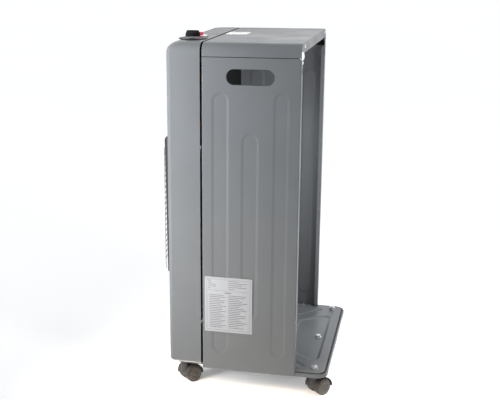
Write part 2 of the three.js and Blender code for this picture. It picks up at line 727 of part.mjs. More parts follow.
function igniterButton() {
  const [r, top] = [BUTTON_RADIUS, TOP + 9];
  const outline = [[0, PIEZO_BOTTOM + 20], [r, PIEZO_BOTTOM + 20], [r, top - 1], [r - 0.7, top], [0, top]];
  return turned(outline).translate(atButton);
}

part('piezo_igniter', piezoBody(), blackPlastic);
part('igniter_button', igniterButton(), redPlastic);

// ---- Label and sticker -----------------------------------------------------------------------

const PAPER = 0.2;
const PAPER_GAP = 0.15;
const LABEL = { y0: 7, y1: 111.5, z0: 139, z1: 264.5 };
const STICKER = { x0: -57, x1: 3, y0: 6, y1: 54 };

function ratingLabel() {
  const { y0, y1, z0, z1 } = LABEL;
  const x = HALF + PAPER_GAP;
  return box(x, y0, z0, x + PAPER, y1, z1);
}

function topSticker() {
  const { x0, x1, y0, y1 } = STICKER;
  const z = TOP + PAPER_GAP;
  return box(x0, y0, z, x1, y1, z + PAPER);
}

part('rating_label', ratingLabel(), paperWhite);
part('top_sticker', topSticker(), paperWhite);

// ---- Screws ----------------------------------------------------------------------------------

/** A pan head screw whose head bears on z = 0, with its shank below. */
function panScrew(headRadius, shank, length) {
  return turned([
    [0, -length], [shank, -length], [shank, FIT], [headRadius, FIT], [headRadius, 1.6],
    [headRadius * 0.6, 2.6], [0, 2.8],
  ], 10);
}

const SCREW = { head: 4, shank: 1.9, length: 8 };
const screw = panScrew(SCREW.head, SCREW.shank, SCREW.length);

for (const [side, x] of [['right', TOP_SCREW.x], ['left', -TOP_SCREW.x]]) {
  const placed = screw.rotate([-90, 0, 0]).translate([x, BODY_DEPTH, TOP - TOP_SCREW.drop]);
  part(`top_screw_${side}`, placed, zinc);
}

/** A hexagonal bolt on a washer that bears on z = 0. */
function shelfBolt() {
  const { shank, flats, head, washer: washerRadius, length } = SHELF_BOLT;
  const washerTop = FIT + 1.3;
  return join(
    rod(shank, -length, washerTop, 12),
    rod(washerRadius, FIT, washerTop, 20),
    rod(flats / Math.sqrt(3), washerTop, FIT + head, 6),
  );
}

part('shelf_bolt', shelfBolt().translate([0, SHELF_BOLT.y, SHELF_TOP - SEAT.depth]), zinc);

// ---- Castors ---------------------------------------------------------------------------------
// Each castor is drawn with its stem on the Z axis and its axle along Y, trailing towards +X.

const AXLE_Z = CASTOR.wheelRadius;
const alongAxle = (body) => body.rotate([-90, 0, 0]).translate([CASTOR.trail, 0, AXLE_Z]);

function castorHood() {
  const { trail, webHalf, hoodRadius, hoodHalf, bossRadius, bossTop } = CASTOR;
  const cover = alongAxle(rod(hoodRadius, -hoodHalf, hoodHalf, 20));
  const upper = box(-60, -40, AXLE_Z, 60, 40, 80);
  const boss = rod(bossRadius, AXLE_Z, bossTop, 20);
  const web = box(trail - 11, -webHalf, AXLE_Z - 7, trail + 11, webHalf, AXLE_Z + 1);
  const wells = [[webHalf, 30], [-30, -webHalf]].map(([a, b]) =>
    alongAxle(rod(CASTOR.wheelRadius + CASTOR.tyreGap, a, b, 20)));
  const axleHole = alongAxle(rod(CASTOR.axleRadius + FIT, -10, 10));
  const stemHole = rod(CASTOR.stemRadius + 0.2, AXLE_Z + 21, bossTop + 1);
  return cut(join(cover.intersect(upper), boss, web), ...wells, axleHole, stemHole);
}

function castorWheel(side) {
  const { wheelRadius: r, wheelWidth: w, webHalf, axleGap, axleRadius } = CASTOR;
  const profile = [
    [0, 10], [axleRadius + 0.1, 10], [axleRadius + 0.1, 0], [r - 1.5, 0], [r, 1.5],
    [r, w - 2.5], [r - 2.5, w], [0, w],
  ];
  const inner = webHalf + axleGap;
  const placed = profile.map(([radius, along]) => [radius, side * (inner + along)]);
  return alongAxle(turned(placed, 20));
}

function castorAxle() {
  const reach = CASTOR.webHalf + CASTOR.axleGap + 9.5;
  return alongAxle(rod(CASTOR.axleRadius, -reach, reach));
}

function castorStem() {
  const { stemRadius: r, collarRadius, bossTop, stemTop } = CASTOR;
  const [foot, collarFoot, collarTop] = [AXLE_Z + 21.5, bossTop + FIT, SHELF_TOP - SHEET - FIT];
  return turned([
    [0, foot], [r, foot], [r, collarFoot], [collarRadius, collarFoot],
    [collarRadius, collarTop], [r, collarTop], [r, stemTop], [0, stemTop],
  ]);
}

for (const { name, x, y, turn } of CASTORS) {
  const place = new THREE.Group();
  place.position.set(x, y, 0);
  place.rotation.z = THREE.MathUtils.degToRad(turn);
  assembly.add(place);
  const put = (piece, body, material) => part(`castor_${name}_${piece}`, body, material, place);
  put('stem', castorStem(), zinc);
  put('nut', nut(CASTOR.nutFlats, CASTOR.stemRadius + 0.4, SHELF_TOP + FIT, CASTOR.nutTop), zinc);
  put('hood', castorHood(), castorPlastic);
  put('axle', castorAxle(), zinc);
  put('wheel_a', castorWheel(1), castorPlastic);
  put('wheel_b', castorWheel(-1), castorPlastic);
}

// ---- Origin ----------------------------------------------------------------------------------

const frontmost = GUARD.sideY - GUARD.bulge - GUARD.wire;
const rearTurn = THREE.MathUtils.degToRad(CASTORS[1].turn);
const rearmost = CASTOR.rearY
  + (CASTOR.trail + CASTOR.hoodRadius) * Math.sin(rearTurn)
  - CASTOR.hoodHalf * Math.cos(rearTurn);
assembly.position.y = -(frontmost + rearmost) / 2;

export default assembly;
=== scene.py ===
"""Looks of a mobile gas cabinet heater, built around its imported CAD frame."""
import math
from collections import namedtuple
import bmesh
import bpy
from mathutils import Matrix, Vector
from mathutils.geometry import delaunay_2d_cdt


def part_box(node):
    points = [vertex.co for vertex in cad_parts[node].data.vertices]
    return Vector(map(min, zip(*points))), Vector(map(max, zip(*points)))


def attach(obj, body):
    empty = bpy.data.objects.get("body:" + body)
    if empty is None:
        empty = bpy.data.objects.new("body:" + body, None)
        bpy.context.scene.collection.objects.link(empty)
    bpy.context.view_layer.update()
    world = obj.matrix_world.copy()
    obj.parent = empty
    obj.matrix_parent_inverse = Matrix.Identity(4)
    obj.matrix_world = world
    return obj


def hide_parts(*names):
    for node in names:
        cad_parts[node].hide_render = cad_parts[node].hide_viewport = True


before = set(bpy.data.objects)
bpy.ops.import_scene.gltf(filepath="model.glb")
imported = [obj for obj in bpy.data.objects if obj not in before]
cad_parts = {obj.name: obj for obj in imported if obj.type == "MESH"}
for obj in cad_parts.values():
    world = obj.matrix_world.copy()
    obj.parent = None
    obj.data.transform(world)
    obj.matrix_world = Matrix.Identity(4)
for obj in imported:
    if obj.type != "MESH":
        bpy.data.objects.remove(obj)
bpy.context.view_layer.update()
SCENE = bpy.context.scene

# ---- Frame ----
# Lengths are in millimetres. Depths are measured from the slot between the fascia and the rear
# cabinet, as in the CAD, and SLOT_Y is where that slot lies in the row frame.

COVER_FRONT = 2
SLOT_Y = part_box("top_cover")[0][1] * 1000 - COVER_FRONT
HALF, TOP, BOTTOM, DEPTH = 210, 762, 50, 206  # half width, heights and depth of the cabinet
SHELF_TOP, SHELF_BACK = 59.5, 274.5
SKIRT = 734.4  # low edge of the top cover's sides
SHEET = 1.2
CONTROL_Y, KNOB_X, BUTTON_X = -37, 126, 62
KNOB_HOLE, BUTTON_HOLE, PLATE_BUTTON_HOLE, BUTTON_RADIUS = 9, 8, 7.6, 6.8
NOZZLE_X, NOZZLE_Z = 150, 655
STEM_X, STEM_FRONT_Y, STEM_REAR_Y = 180, -46, 245
LABEL = (7, 139, 111.5, 264.5)
STICKER = (-57, 6, 3, 54)


def at(x, y, z):
    """A point in the row frame, in metres."""
    return Vector((x, y + SLOT_Y, z)) / 1000


# ---- Mesh helpers ----

class Build:
    """Collects faces in millimetres, then makes one object of them."""

    def __init__(self, place=at):
        self.bm, self.place = bmesh.new(), place

    def face(self, points, material=0):
        verts = [self.bm.verts.new(self.place(*p)) for p in points]
        self.bm.faces.new(verts).material_index = material

    def strip(self, a, b, closed=False, material=0):
        """Quads between two rows of as many points."""
        count = len(a)
        for i in range(count if closed else count - 1):
            j = (i + 1) % count
            self.face([a[i], a[j], b[j], b[i]], material)

    def loft(self, rows, closed=False, material=0):
        for a, b in zip(rows, rows[1:]):
            self.strip(a, b, closed, material)

    def fill(self, outline, holes, to3d):
        """A flat region in two dimensions, with holes, as triangles."""
        points, edges = [], []
        for loop in (outline, *holes):
            start = len(points)
            points += [Vector(p) for p in loop]
            edges += [(start + i, start + (i + 1) % len(loop)) for i in range(len(loop))]
        verts, _, faces = delaunay_2d_cdt(points, edges, [], 0, 1e-5)[:3]
        for f in faces:
            middle = sum((verts[i] for i in f), Vector((0, 0))) / len(f)
            if inside(middle, outline) and not any(inside(middle, h) for h in holes):
                self.face([to3d(*verts[i]) for i in f])

    def make(self, name, materials, weld=0.02, sharp=32, outward=True):
        """One object, smooth but for the edges sharper than that many degrees."""
        bm = self.bm
        bmesh.ops.remove_doubles(bm, verts=bm.verts, dist=weld / 1000)
        if outward:
            bmesh.ops.recalc_face_normals(bm, faces=bm.faces)
        bm.normal_update()
        for e in bm.edges:
            e.smooth = len(e.link_faces) == 2 and e.calc_face_angle(0) < math.radians(sharp)
        for f in bm.faces:
            f.smooth = True
        mesh = bpy.data.meshes.new(name)
        bm.to_mesh(mesh)
        bm.free()
        for m in materials:
            mesh.materials.append(m)
        obj = bpy.data.objects.new(name, mesh)
        SCENE.collection.objects.link(obj)
        return obj


def inside(p, loop):
    """Is a point inside a closed loop?"""
    x, y = p
    hit = False
    for (x0, y0), (x1, y1) in zip(loop, loop[1:] + loop[:1]):
        if (y0 > y) != (y1 > y) and x < (x1 - x0) * (y - y0) / (y1 - y0) + x0:
            hit = not hit
    return hit


def solidify(obj, thickness=SHEET, offset=-1, even=True):
    mod = obj.modifiers.new("sheet", "SOLIDIFY")
    mod.thickness = thickness / 1000
    mod.offset = offset
    mod.use_even_offset = even
    mod.use_quality_normals = True
    return obj


def weighted(obj):
    mod = obj.modifiers.new("flat faces stay flat", "WEIGHTED_NORMAL")
    mod.keep_sharp = True
    mod.weight = 60
    return obj


def bevel(obj, width):
    """Rounds every edge of more than 35 degrees."""
    mod = obj.modifiers.new("edges", "BEVEL")
    mod.width = width / 1000
    mod.segments = 2
    mod.limit_method = "ANGLE"
    mod.angle_limit = math.radians(35)
    return obj


def polar(degrees):
    """The cosine and sine of an angle."""
    return math.cos(math.radians(degrees)), math.sin(math.radians(degrees))


def arc(cx, cy, r, a0, a1, n):
    """Points on an arc, with angles in degrees."""
    ways = [polar(a0 + (a1 - a0) * i / n) for i in range(n + 1)]
    return [(cx + r * c, cy + r * s) for c, s in ways]


def circle(r, n):
    """A closed ring of n points about the origin."""
    return arc(0, 0, r, 0, 360 - 360 / n, n - 1)


def quarter(steps):
    """Cosines and sines from 0 to 90 degrees, for a rolled edge."""
    return [polar(90 * i / steps) for i in range(steps + 1)]


def oblong(u0, v0, u1, v1):
    """The corners of a rectangle, anticlockwise from low left."""
    return [(u0, v0), (u1, v0), (u1, v1), (u0, v1)]


def rounded(u0, v0, u1, v1, r, n):
    """A closed rounded rectangle, anticlockwise from low left."""
    r = max(r, 0.01)
    return (arc(u0 + r, v0 + r, r, 180, 270, n) + arc(u1 - r, v0 + r, r, 270, 360, n)
            + arc(u1 - r, v1 - r, r, 0, 90, n) + arc(u0 + r, v1 - r, r, 90, 180, n))


def grown(points, radii, by, n):
    """A closed convex outline, anticlockwise, with rounded corners and moved outward by `by`."""
    out = []
    count = len(points)
    for i, (p, r) in enumerate(zip(points, radii)):
        here = Vector(p)
        d0 = (here - Vector(points[i - 1])).normalized()
        d1 = (Vector(points[(i + 1) % count]) - here).normalized()
        n0, n1 = Vector((d0.y, -d0.x)), Vector((d1.y, -d1.x))
        size = max(r + by, 0.01)
        centre = here - (n0 + n1) * ((size - by) / (1 + n0.dot(n1)))
        start = math.degrees(math.atan2(n0.y, n0.x))
        turn = math.degrees(math.acos(max(-1, min(1, n0.dot(n1)))))
        out += arc(centre.x, centre.y, size, start, start + turn, n)
    return out


def ease(t):
    """A smooth step from 0 to 1."""
    return t * t * (3 - 2 * t)


def wall(depth, width, steps):
    """The offsets and heights down the side of a pressed feature, outermost first."""
    return [(-width * i / steps, -depth * ease(i / steps)) for i in range(steps + 1)]


def turned(build, profile, segments, to3d=lambda *p: p, material=0, sweep=(0, 360)):
    """A turned surface from (radius, height) points about a local axis."""
    whole = sweep[1] - sweep[0] >= 360
    steps = segments if whole else segments + 1
    rows = [[to3d(x, y, h) for x, y in arc(0, 0, r, *sweep, segments)[:steps]] for r, h in profile]
    for (r0, _), (r1, _), a, b in zip(profile, profile[1:], rows, rows[1:]):
        for i in range(segments):
            j = (i + 1) % steps
            points = [a[i], a[j], b[j], b[i]]
            if 0 in (r0, r1):
                del points[1 if r0 == 0 else 2]
            build.face(points, material)


def tube(build, path, radius, sides=10):
    """A round bar along points, turned as little as possible from one to the next."""
    pts = [Vector(p) for p in path]
    rows = []
    normal = None
    for i, here in enumerate(pts):
        tangent = (pts[min(i + 1, len(pts) - 1)] - pts[max(i - 1, 0)]).normalized()
        if normal is None:
            normal = tangent.orthogonal().normalized()
        normal = (normal - tangent * normal.dot(tangent)).normalized()
        side = tangent.cross(normal)
        rows.append([tuple(here + c * normal + s * side) for c, s in circle(radius, sides)])
    build.loft(rows, closed=True)
    build.face(rows[0][::-1])
    build.face(rows[-1])


def curve_through(points, per):
    """That many points on each span of a smooth curve through the given ones."""
    pts = [Vector(p) for p in points]
    out = []
    for i in range(len(pts) - 1):
        p0, p1, p2, p3 = pts[max(i - 1, 0)], pts[i], pts[i + 1], pts[min(i + 2, len(pts) - 1)]
        for k in range(per):
            t = k / per
            out.append(0.5 * ((2 * p1) + (p2 - p0) * t + (2 * p0 - 5 * p1 + 4 * p2 - p3) * t * t
                              + (3 * p1 - p0 - 3 * p2 + p3) * t ** 3))
    out.append(pts[-1])
    return out


def block(build, x0, y0, z0, x1, y1, z1):
    """A box, as six faces."""
    c = [(x, y, z) for z in (z0, z1) for y in (y0, y1) for x in (x0, x1)]
    for f in ((0, 2, 3, 1), (4, 5, 7, 6), (0, 1, 5, 4), (2, 6, 7, 3), (0, 4, 6, 2), (1, 3, 7, 5)):
        build.face([c[i] for i in f])


# Something pressed into a flat sheet: its outline at an offset, its wall's (offset, height)
# profile, and whether the wall ends in a face.
Feature = namedtuple("Feature", "ring profile cap", defaults=[True])


def pressed(build, outline, features, to3d):
    """A flat sheet with features pressed into it. to3d takes (u, v, height)."""
    build.fill(outline, [f.ring(f.profile[0][0]) for f in features], lambda u, v: to3d(u, v, 0))
    for f in features:
        rows = [[to3d(u, v, h) for u, v in f.ring(o)] for o, h in f.profile]
        build.loft(rows, closed=True)
        if f.cap:
            build.face(rows[-1])


def rounded_ring(u0, v0, u1, v1, r, n):
    """A rounded rectangle, at any offset."""
    return lambda o: rounded(u0 - o, v0 - o, u1 + o, v1 + o, r + o, n)


def slot_ring(u0, v0, u1, v1, n=12):
    """A slot with round ends, at any offset."""
    return rounded_ring(u0, v0, u1, v1, min(u1 - u0, v1 - v0) / 2, n)


def round_ring(u, v, r, n=24):
    """A circle, at any offset."""
    return lambda o: arc(u, v, r + o, 0, 360 - 360 / n, n - 1)


def capsule(p, q, r, n):
    """A slot with round ends between two points, at any offset."""
    way = math.degrees(math.atan2(q[1] - p[1], q[0] - p[0]))
    return lambda o: (arc(*p, r + o, way + 90, way + 270, n)
                      + arc(*q, r + o, way - 90, way + 90, n))


def hole(ring):
    """A hole with a slightly drawn-in edge."""
    return Feature(ring, [(0.5, 0), (0.15, -0.12), (0, -0.5), (0, -SHEET)], cap=False)


# ---- Materials ----

def put_in(tree, made, inputs):
    """Sets a node's inputs to values, or joins them to other nodes' outputs."""
    for key, value in inputs.items():
        socket = made.inputs[key]
        if isinstance(value, bpy.types.NodeSocket):
            tree.links.new(value, socket)
        else:
            socket.default_value = value
    return made


def node(tree, kind, inputs, operation=None):
    made = tree.nodes.new(f"ShaderNode{kind}")
    if operation:
        made.operation = operation
    return put_in(tree, made, inputs)


def mixed(tree, factor, a, b):
    """The output of a mix of two colours."""
    mix = node(tree, "Mix", {})
    mix.data_type = "RGBA"
    colours = [i for i, socket in enumerate(mix.inputs) if socket.type == "RGBA"]
    put_in(tree, mix, {"Factor": factor, colours[0]: a, colours[1]: b})
    return next(o for o in mix.outputs if o.type == "RGBA")


def ranged(tree, value, start, end, low=0, high=1):
    """A value moved from one range to another, and held within it."""
    return node(tree, "MapRange", {
        "Value": value, "From Min": start, "From Max": end, "To Min": low, "To Max": high,
    }).outputs["Result"]


def material(name, color, rough, metal=0.0, vary=0.06, vary_scale=40, rough_vary=0.06,
             bump=0.03, bump_scale=900, coat=0.0, specular=0.5, fleck=0.0, stretch=(1, 1, 1)):
    """A surface with uneven colour and roughness and a fine relief, in object space."""
    mat = bpy.data.materials.new(name)
    mat.use_nodes = True
    tree = mat.node_tree
    where = node(tree, "TexCoord", {}).outputs["Object"]
    place = node(tree, "Mapping", {"Vector": where, "Scale": stretch}).outputs["Vector"]

    def noise(scale, detail=3):
        inputs = {"Vector": place, "Scale": scale, "Detail": detail}
        return node(tree, "TexNoise", inputs).outputs["Fac"]

    def uneven(scale, low, high):
        return ranged(tree, noise(scale), 0.3, 0.7, low, high)

    def shade(k, more=0.0):
        return tuple(min(1, c * k + more) for c in color) + (1,)

    base = mixed(tree, uneven(vary_scale, 0, 1), shade(1 - vary), shade(1 + vary))
    if fleck:
        spots = ranged(tree, noise(3200, 1), 0.52, 0.72, 0, fleck)
        base = mixed(tree, spots, base, shade(1.6, 0.12))
    relief = {"Strength": bump, "Distance": 0.001, "Height": noise(bump_scale, 2)}
    put_in(tree, tree.nodes["Principled BSDF"], {
        "Metallic": metal, "Coat Weight": coat, "Coat Roughness": 0.2,
        "Specular IOR Level": specular, "Base Color": base,
        "Roughness": uneven(vary_scale * 0.6, rough - rough_vary, rough + rough_vary),
        "Normal": node(tree, "Bump", relief).outputs["Normal"],
    })
    return mat


GREY = material("grey_powder_coat", (0.081, 0.0862, 0.0918), 0.36, 0.2, vary=0.035, vary_scale=14,
                bump=0.035, bump_scale=700, fleck=0.25, specular=0.28)
# Painted highlight: a light grey for the fascia's lower rolled edge, standing in for the bright
# floor's reflection there.
EDGE_HIGHLIGHT = material("rolled_edge_painted_highlight", (0.4, 0.39, 0.36), 0.3, 0.4)
BLACK_PAINT = material("black_heat_paint", (0.012, 0.012, 0.012), 0.42, bump=0.05)
# Near black, as painted shade: the painted shadow in the side seams under the cover, and on the
# partition partly its black paint, partly painted shade of the unlit bay.
SHADE_DARK_SHEET = material("dark_sheet_painted_shade", (0.008, 0.0083, 0.0086), 0.6, bump=0.05, specular=0.08)
# Painted shade: the dark grey for the narrow groove inside the shelf's rim, standing in for the
# shade deep in it.
GROOVE_SHADE = material("groove_painted_shade", (0.026, 0.026, 0.027), 0.5, bump=0.05, specular=0.12)
ALUMINISED = material("aluminised_sheet", (0.46, 0.47, 0.48), 0.3, 0.95, vary=0.1,
                      vary_scale=60, bump=0.04)
WIRE = material("bright_wire", (0.75, 0.76, 0.77), 0.22, 0.85, vary=0.05, bump=0.02)
CERAMIC_WHITE = material("white_ceramic", (0.78, 0.76, 0.72), 0.45, vary=0.03, bump=0.02)
BRASS = material("machined_brass", (0.52, 0.34, 0.11), 0.28, 0.95, vary=0.07, stretch=(1, 1, 8))
COPPER = material("drawn_copper", (0.45, 0.19, 0.09), 0.32, 0.95, vary=0.12, bump=0.02)
TUBE_METAL = material("drawn_aluminium", (0.5, 0.51, 0.52), 0.3, 0.95, bump=0.02)
ZINC = material("bright_zinc", (0.66, 0.69, 0.71), 0.24, 0.9, vary=0.08, vary_scale=300)
# Near white: partly the clip's bright steel, partly a painted glint.
GLINT_STEEL = material("spring_steel_painted_glint", (0.86, 0.87, 0.88), 0.2, 0.35, vary=0.04, bump=0.02)
BLACK_PLASTIC = material("black_moulding", (0.005, 0.005, 0.0055), 0.45, vary=0.1, bump=0.06,
                         bump_scale=1400, specular=0.06)
GLOSS_BLACK = material("gloss_black", (0.008, 0.008, 0.009), 0.3, rough_vary=0.04, bump=0.02,
                       specular=0.06)
RED_PLASTIC = material("red_moulding", (0.34, 0.007, 0.028), 0.25, bump=0.02, coat=0.3)
NYLON = {"vary": 0.12, "vary_scale": 120, "bump_scale": 500}
HOOD = material("castor_hood_nylon", (0.03, 0.027, 0.025), 0.46, bump=0.08, specular=0.3, **NYLON)
CASTOR = material("castor_nylon", (0.056, 0.047, 0.039), 0.46, bump=0.08, **NYLON)
TREAD = material("castor_tread", (0.045, 0.039, 0.034), 0.6, bump=0.12, **NYLON)
FILM = material("label_film", (0.185, 0.195, 0.212), 0.5, vary=0.02, bump_scale=200)
PAPER = material("white_paper", (0.78, 0.76, 0.73), 0.6, vary=0.02, bump_scale=200)
INK = material("print_ink", (0.06, 0.062, 0.066), 0.5, vary=0.15, bump=0.01)
PALE_INK = material("pale_print", (0.62, 0.63, 0.63), 0.5, vary=0.05, bump=0.01)
RIM_METAL = material("polished_rim", (0.75, 0.76, 0.77), 0.15, 0.95, vary=0.03, bump=0.01)


FLAME_HOLE_PITCH = 0.0044


def plaque_material():
    """Porous ceramic with fine flame holes, drawn as a grid of dark spots: painted shade for the
    holes' depth.
    """
    mat = material("flame_plaque", (0.42, 0.365, 0.29), 0.85, vary=0.08, vary_scale=25, bump=0.15)
    tree = mat.node_tree
    where = node(tree, "TexCoord", {}).outputs["Object"]
    apart = node(tree, "SeparateXYZ", {"Vector": where})

    def wave(axis):
        turns = {0: apart.outputs[axis], 1: 2 * math.pi / FLAME_HOLE_PITCH}
        angle = node(tree, "Math", turns, "MULTIPLY").outputs[0]
        return node(tree, "Math", {0: angle}, "SINE").outputs[0]

    # Dark spots where both waves peak: painted shade standing in for the flame holes.
    product = node(tree, "Math", {0: wave("X"), 1: wave("Z")}, "MULTIPLY")
    spots = ranged(tree, product.outputs[0], 0.45, 0.75)
    shader = tree.nodes["Principled BSDF"]
    clay = shader.inputs["Base Color"].links[0].from_socket
    put_in(tree, shader, {"Base Color": mixed(tree, spots, clay, (0.09, 0.07, 0.05, 1))})
    return mat


PLAQUE = plaque_material()


def stands_for(obj, slot_name, *nodes, body="cabinet"):
    """Puts a piece on its body, in place of CAD nodes."""
    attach(obj, body)
    if nodes:
        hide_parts(*nodes)


def sheet(build, name, materials, slot_name, node_name, thickness=SHEET, even=True):
    """A piece of sheet metal, from its outer face."""
    obj = weighted(solidify(build.make(name, materials), thickness, even=even))
    stands_for(obj, slot_name, node_name)


# ---- Front fascia ----

FRONT, SLOT = -74, -2
WINDOW = (-162, 272, 162, 526)
FOOT_Z, FOOT_R, EDGE_R = 55.5, 12, 20
CORNER_R, HEAD_CORNER_R = 9, 20
ROLL_STEPS, HIGHLIGHT_STEPS = 12, 8


def fascia_row(inset, z, corner, inset_front=None):
    """A U-shaped row of the fascia, from its left back edge round the front to its right."""
    x, y = HALF - inset, FRONT + (inset if inset_front is None else inset_front)
    left = arc(-x + corner, y + corner, corner, 180, 270, 10)
    right = arc(x - corner, y + corner, corner, 270, 360, 10)
    return [(u, v, z) for u, v in [(-x, SLOT), *left, *right, (x, SLOT)]]


def front_fascia():
    b = Build()
    foot = [fascia_row(FOOT_R * (1 - s), FOOT_Z + FOOT_R * (1 - c), CORNER_R)
            for c, s in quarter(ROLL_STEPS)]
    hem = [fascia_row(15.3, z, 7, inset_front=12.4) for z in (FOOT_Z + 3, FOOT_Z)]
    b.loft([*hem, foot[0]])
    # The lowest part of the foot's roll, facing the floor, in the painted-highlight grey.
    b.loft(foot[:HIGHLIGHT_STEPS + 1], material=1)
    b.loft(foot[HIGHLIGHT_STEPS:])
    head = [fascia_row(EDGE_R * (1 - c), TOP - EDGE_R + EDGE_R * s,
                       CORNER_R + (HEAD_CORNER_R - CORNER_R) * ease(i / ROLL_STEPS))
            for i, (c, s) in enumerate(quarter(ROLL_STEPS))]
    b.loft(head)
    low, high = foot[-1], head[0]
    middle = len(low) // 2 - 1
    for i in range(len(low) - 1):
        if i != middle:
            b.face([low[i], low[i + 1], high[i + 1], high[i]])
    (x0, _, z0), (x1, _, z1) = low[middle], high[middle + 1]
    window = Feature(rounded_ring(*WINDOW, 4, 4), [(0, 0), (-0.6, -0.6), (-0.6, -3)], cap=False)
    pressed(b, oblong(x0, z0, x1, z1), [window], lambda u, v, h: (u, FRONT - h, v))
    holes = [hole(round_ring(KNOB_X, CONTROL_Y, KNOB_HOLE)),
             hole(round_ring(BUTTON_X, CONTROL_Y, BUTTON_HOLE))]
    pressed(b, [(x, y) for x, y, _ in head[-1]], holes, lambda u, v, h: (u, v, TOP + h))
    sheet(b, "fascia_shell", [GREY, EDGE_HIGHLIGHT], "grey_paint", "front_fascia")


front_fascia()


# ---- Top cover ----

COVER_SCREW_X, COVER_SCREW_Z = 173, TOP - 7


def cover_row(inset, y):
    """An inverted U of the top cover's section."""
    x, z, r = HALF - inset, TOP - inset, EDGE_R - inset
    left = arc(-x + r, z - r, r, 180, 90, 12)
    right = arc(x - r, z - r, r, 90, 0, 12)
    return [(u, y, v) for u, v in [(-x, SKIRT), *left, *right, (x, SKIRT)]]


def top_cover():
    b = Build()
    front_r, rear_r = 1.5, 2
    rows = [cover_row(12, COVER_FRONT)]
    rows += [cover_row(front_r * (1 - s), COVER_FRONT + front_r * (1 - c)) for c, s in quarter(5)]
    rows += [cover_row(rear_r * (1 - c), DEPTH - rear_r + rear_r * s) for c, s in quarter(5)]
    b.loft(rows)
    rim = [(x, z) for x, _, z in rows[-1]][1:-1]
    low = TOP - 20
    outline = [(rim[-1][0], low), *rim[::-1], (rim[0][0], low)]
    holes = [hole(round_ring(side * COVER_SCREW_X, COVER_SCREW_Z, 2.3)) for side in (-1, 1)]
    pressed(b, outline, holes, lambda u, v, h: (u, DEPTH + h, v))
    b.loft([[(x, DEPTH - d, low + up) for x in (outline[-1][0], outline[0][0])]
            for d, up in ((0, 0), (0.8, -0.2), (3, -0.2))])
    sheet(b, "top_cover_shell", [GREY], "grey_paint", "top_cover")


top_cover()


# ---- Side panels ----

RIBS = ((24.5, 90, 56.5, 660), (87.5, 173, 119.5, 577), (153.5, 92, 181.5, 661))
HAND_SLOT = (53, 678, 153, 710)
PANEL_TOP = SKIRT - 1.3


def side_panel(side):
    b = Build()
    bend, edge = 2.2, 0.9
    y0, y1 = COVER_FRONT + bend, DEPTH - bend
    foot = BOTTOM + edge

    def upright(profile):
        b.loft([[(side * x, y, low), (side * x, y, high)] for x, y, low, high in profile])

    ribs = [Feature(slot_ring(*r), [(o + 3.6, h) for o, h in wall(1.4, 7.2, 8)]) for r in RIBS]
    rolled = [(0.9, 0), (0.55, -0.07), (0.26, -0.26), (0.07, -0.55), (0, -0.9), (0, -5)]
    slot = Feature(slot_ring(*HAND_SLOT, n=16), rolled, cap=False)
    pressed(b, oblong(y0, foot, y1, PANEL_TOP), [*ribs, slot],
            lambda u, v, h: (side * (HALF + h), u, v))
    hem = [(0, edge), (-0.26, 0.26), (-edge, 0), (-6, 0)]
    b.loft([[(side * (HALF + h), y, BOTTOM + up) for y in (y0, y1)] for h, up in hem])
    rear = [(HALF - bend + u, DEPTH - bend + v, foot, PANEL_TOP)
            for u, v in arc(0, 0, bend, 0, 90, 6)]
    upright(rear)
    lip_x, lip_r, lip_low, lip_high = 190, 1.6, 60.5, 723
    lip = [(lip_x + lip_r - u, DEPTH - lip_r + v, lip_low, lip_high)
           for u, v in arc(0, 0, lip_r, 0, 90, 5)]
    upright([*lip, (lip_x, 198, 66, 718)])
    near, far, crest = rear[-1][0], lip[0][0], 741
    flange = [(far, lip_low), (near - 3, lip_low), (near, foot), (near, PANEL_TOP),
              (near - 1.5, crest), (far + 4, crest), (far, lip_high)]
    holes = [hole(round_ring(201, z, 2, 16)) for z in (110, 484, 640)]
    holes.append(hole(rounded_ring(195, 700, 203, 712, 1, 3)))
    pressed(b, flange, holes, lambda u, v, h: (side * u, DEPTH + h, v))
    front = [(HALF - bend + u, y0 - v) for u, v in arc(0, 0, bend, 0, 90, 6)]
    front.append((HALF - 14, COVER_FRONT))
    upright([(x, y, 60 if x < 208 else foot, PANEL_TOP) for x, y in front])
    name = "right" if side > 0 else "left"
    sheet(b, f"side_shell_{name}", [GREY], "grey_paint", f"side_panel_{name}")
    tongue(side, name)


def tongue(side, name):
    """The panel's top edge, stepped in behind the cover's skirt, in near black: a painted shadow
    for the seam under the skirt.
    """
    b = Build()
    block(b, side * 207.4, 22, 722, side * 208.5, 202, 741.4)
    stands_for(bevel(b.make(f"side_tongue_{name}", [SHADE_DARK_SHEET]), 0.3), "grey_paint")


side_panel(1)
side_panel(-1)


# ---- Partition ----

def partition():
    b = Build()
    half, high, low = 206.5, 758.5, 59.8
    r = EDGE_R - 3.5
    outline = ([(-half, low), (half, low)] + arc(half - r, high - r, r, 0, 90, 8)
               + arc(-half + r, high - r, r, 90, 180, 8))
    cut = [(0.4, 0), (0, -0.3), (0, -1.1)]
    vents = [Feature(slot_ring(x, 560, x + 36, 566), cut, cap=False)
             for x in range(-138, 103, 48)]
    beads = [Feature(slot_ring(x - 7, 90, x + 7, 530, 8), wall(0.35, 3, 4))
             for x in (-165, -82.5, 0, 82.5, 165)]
    beads.append(Feature(slot_ring(-165, 594, 165, 606, 8), wall(0.35, 3, 4)))
    nozzle = Feature(round_ring(NOZZLE_X, NOZZLE_Z, 6.2), cut, cap=False)
    pressed(b, outline, [*vents, *beads, nozzle], lambda u, v, h: (u, 1.6 + h, v))
    # The partition's near black is partly its black paint and partly painted shade of the unlit
    # bay.
    sheet(b, "partition_sheet", [SHADE_DARK_SHEET], "black_paint", "partition_panel", 0.8)


partition()


# ---- Base plate with the shelf ----

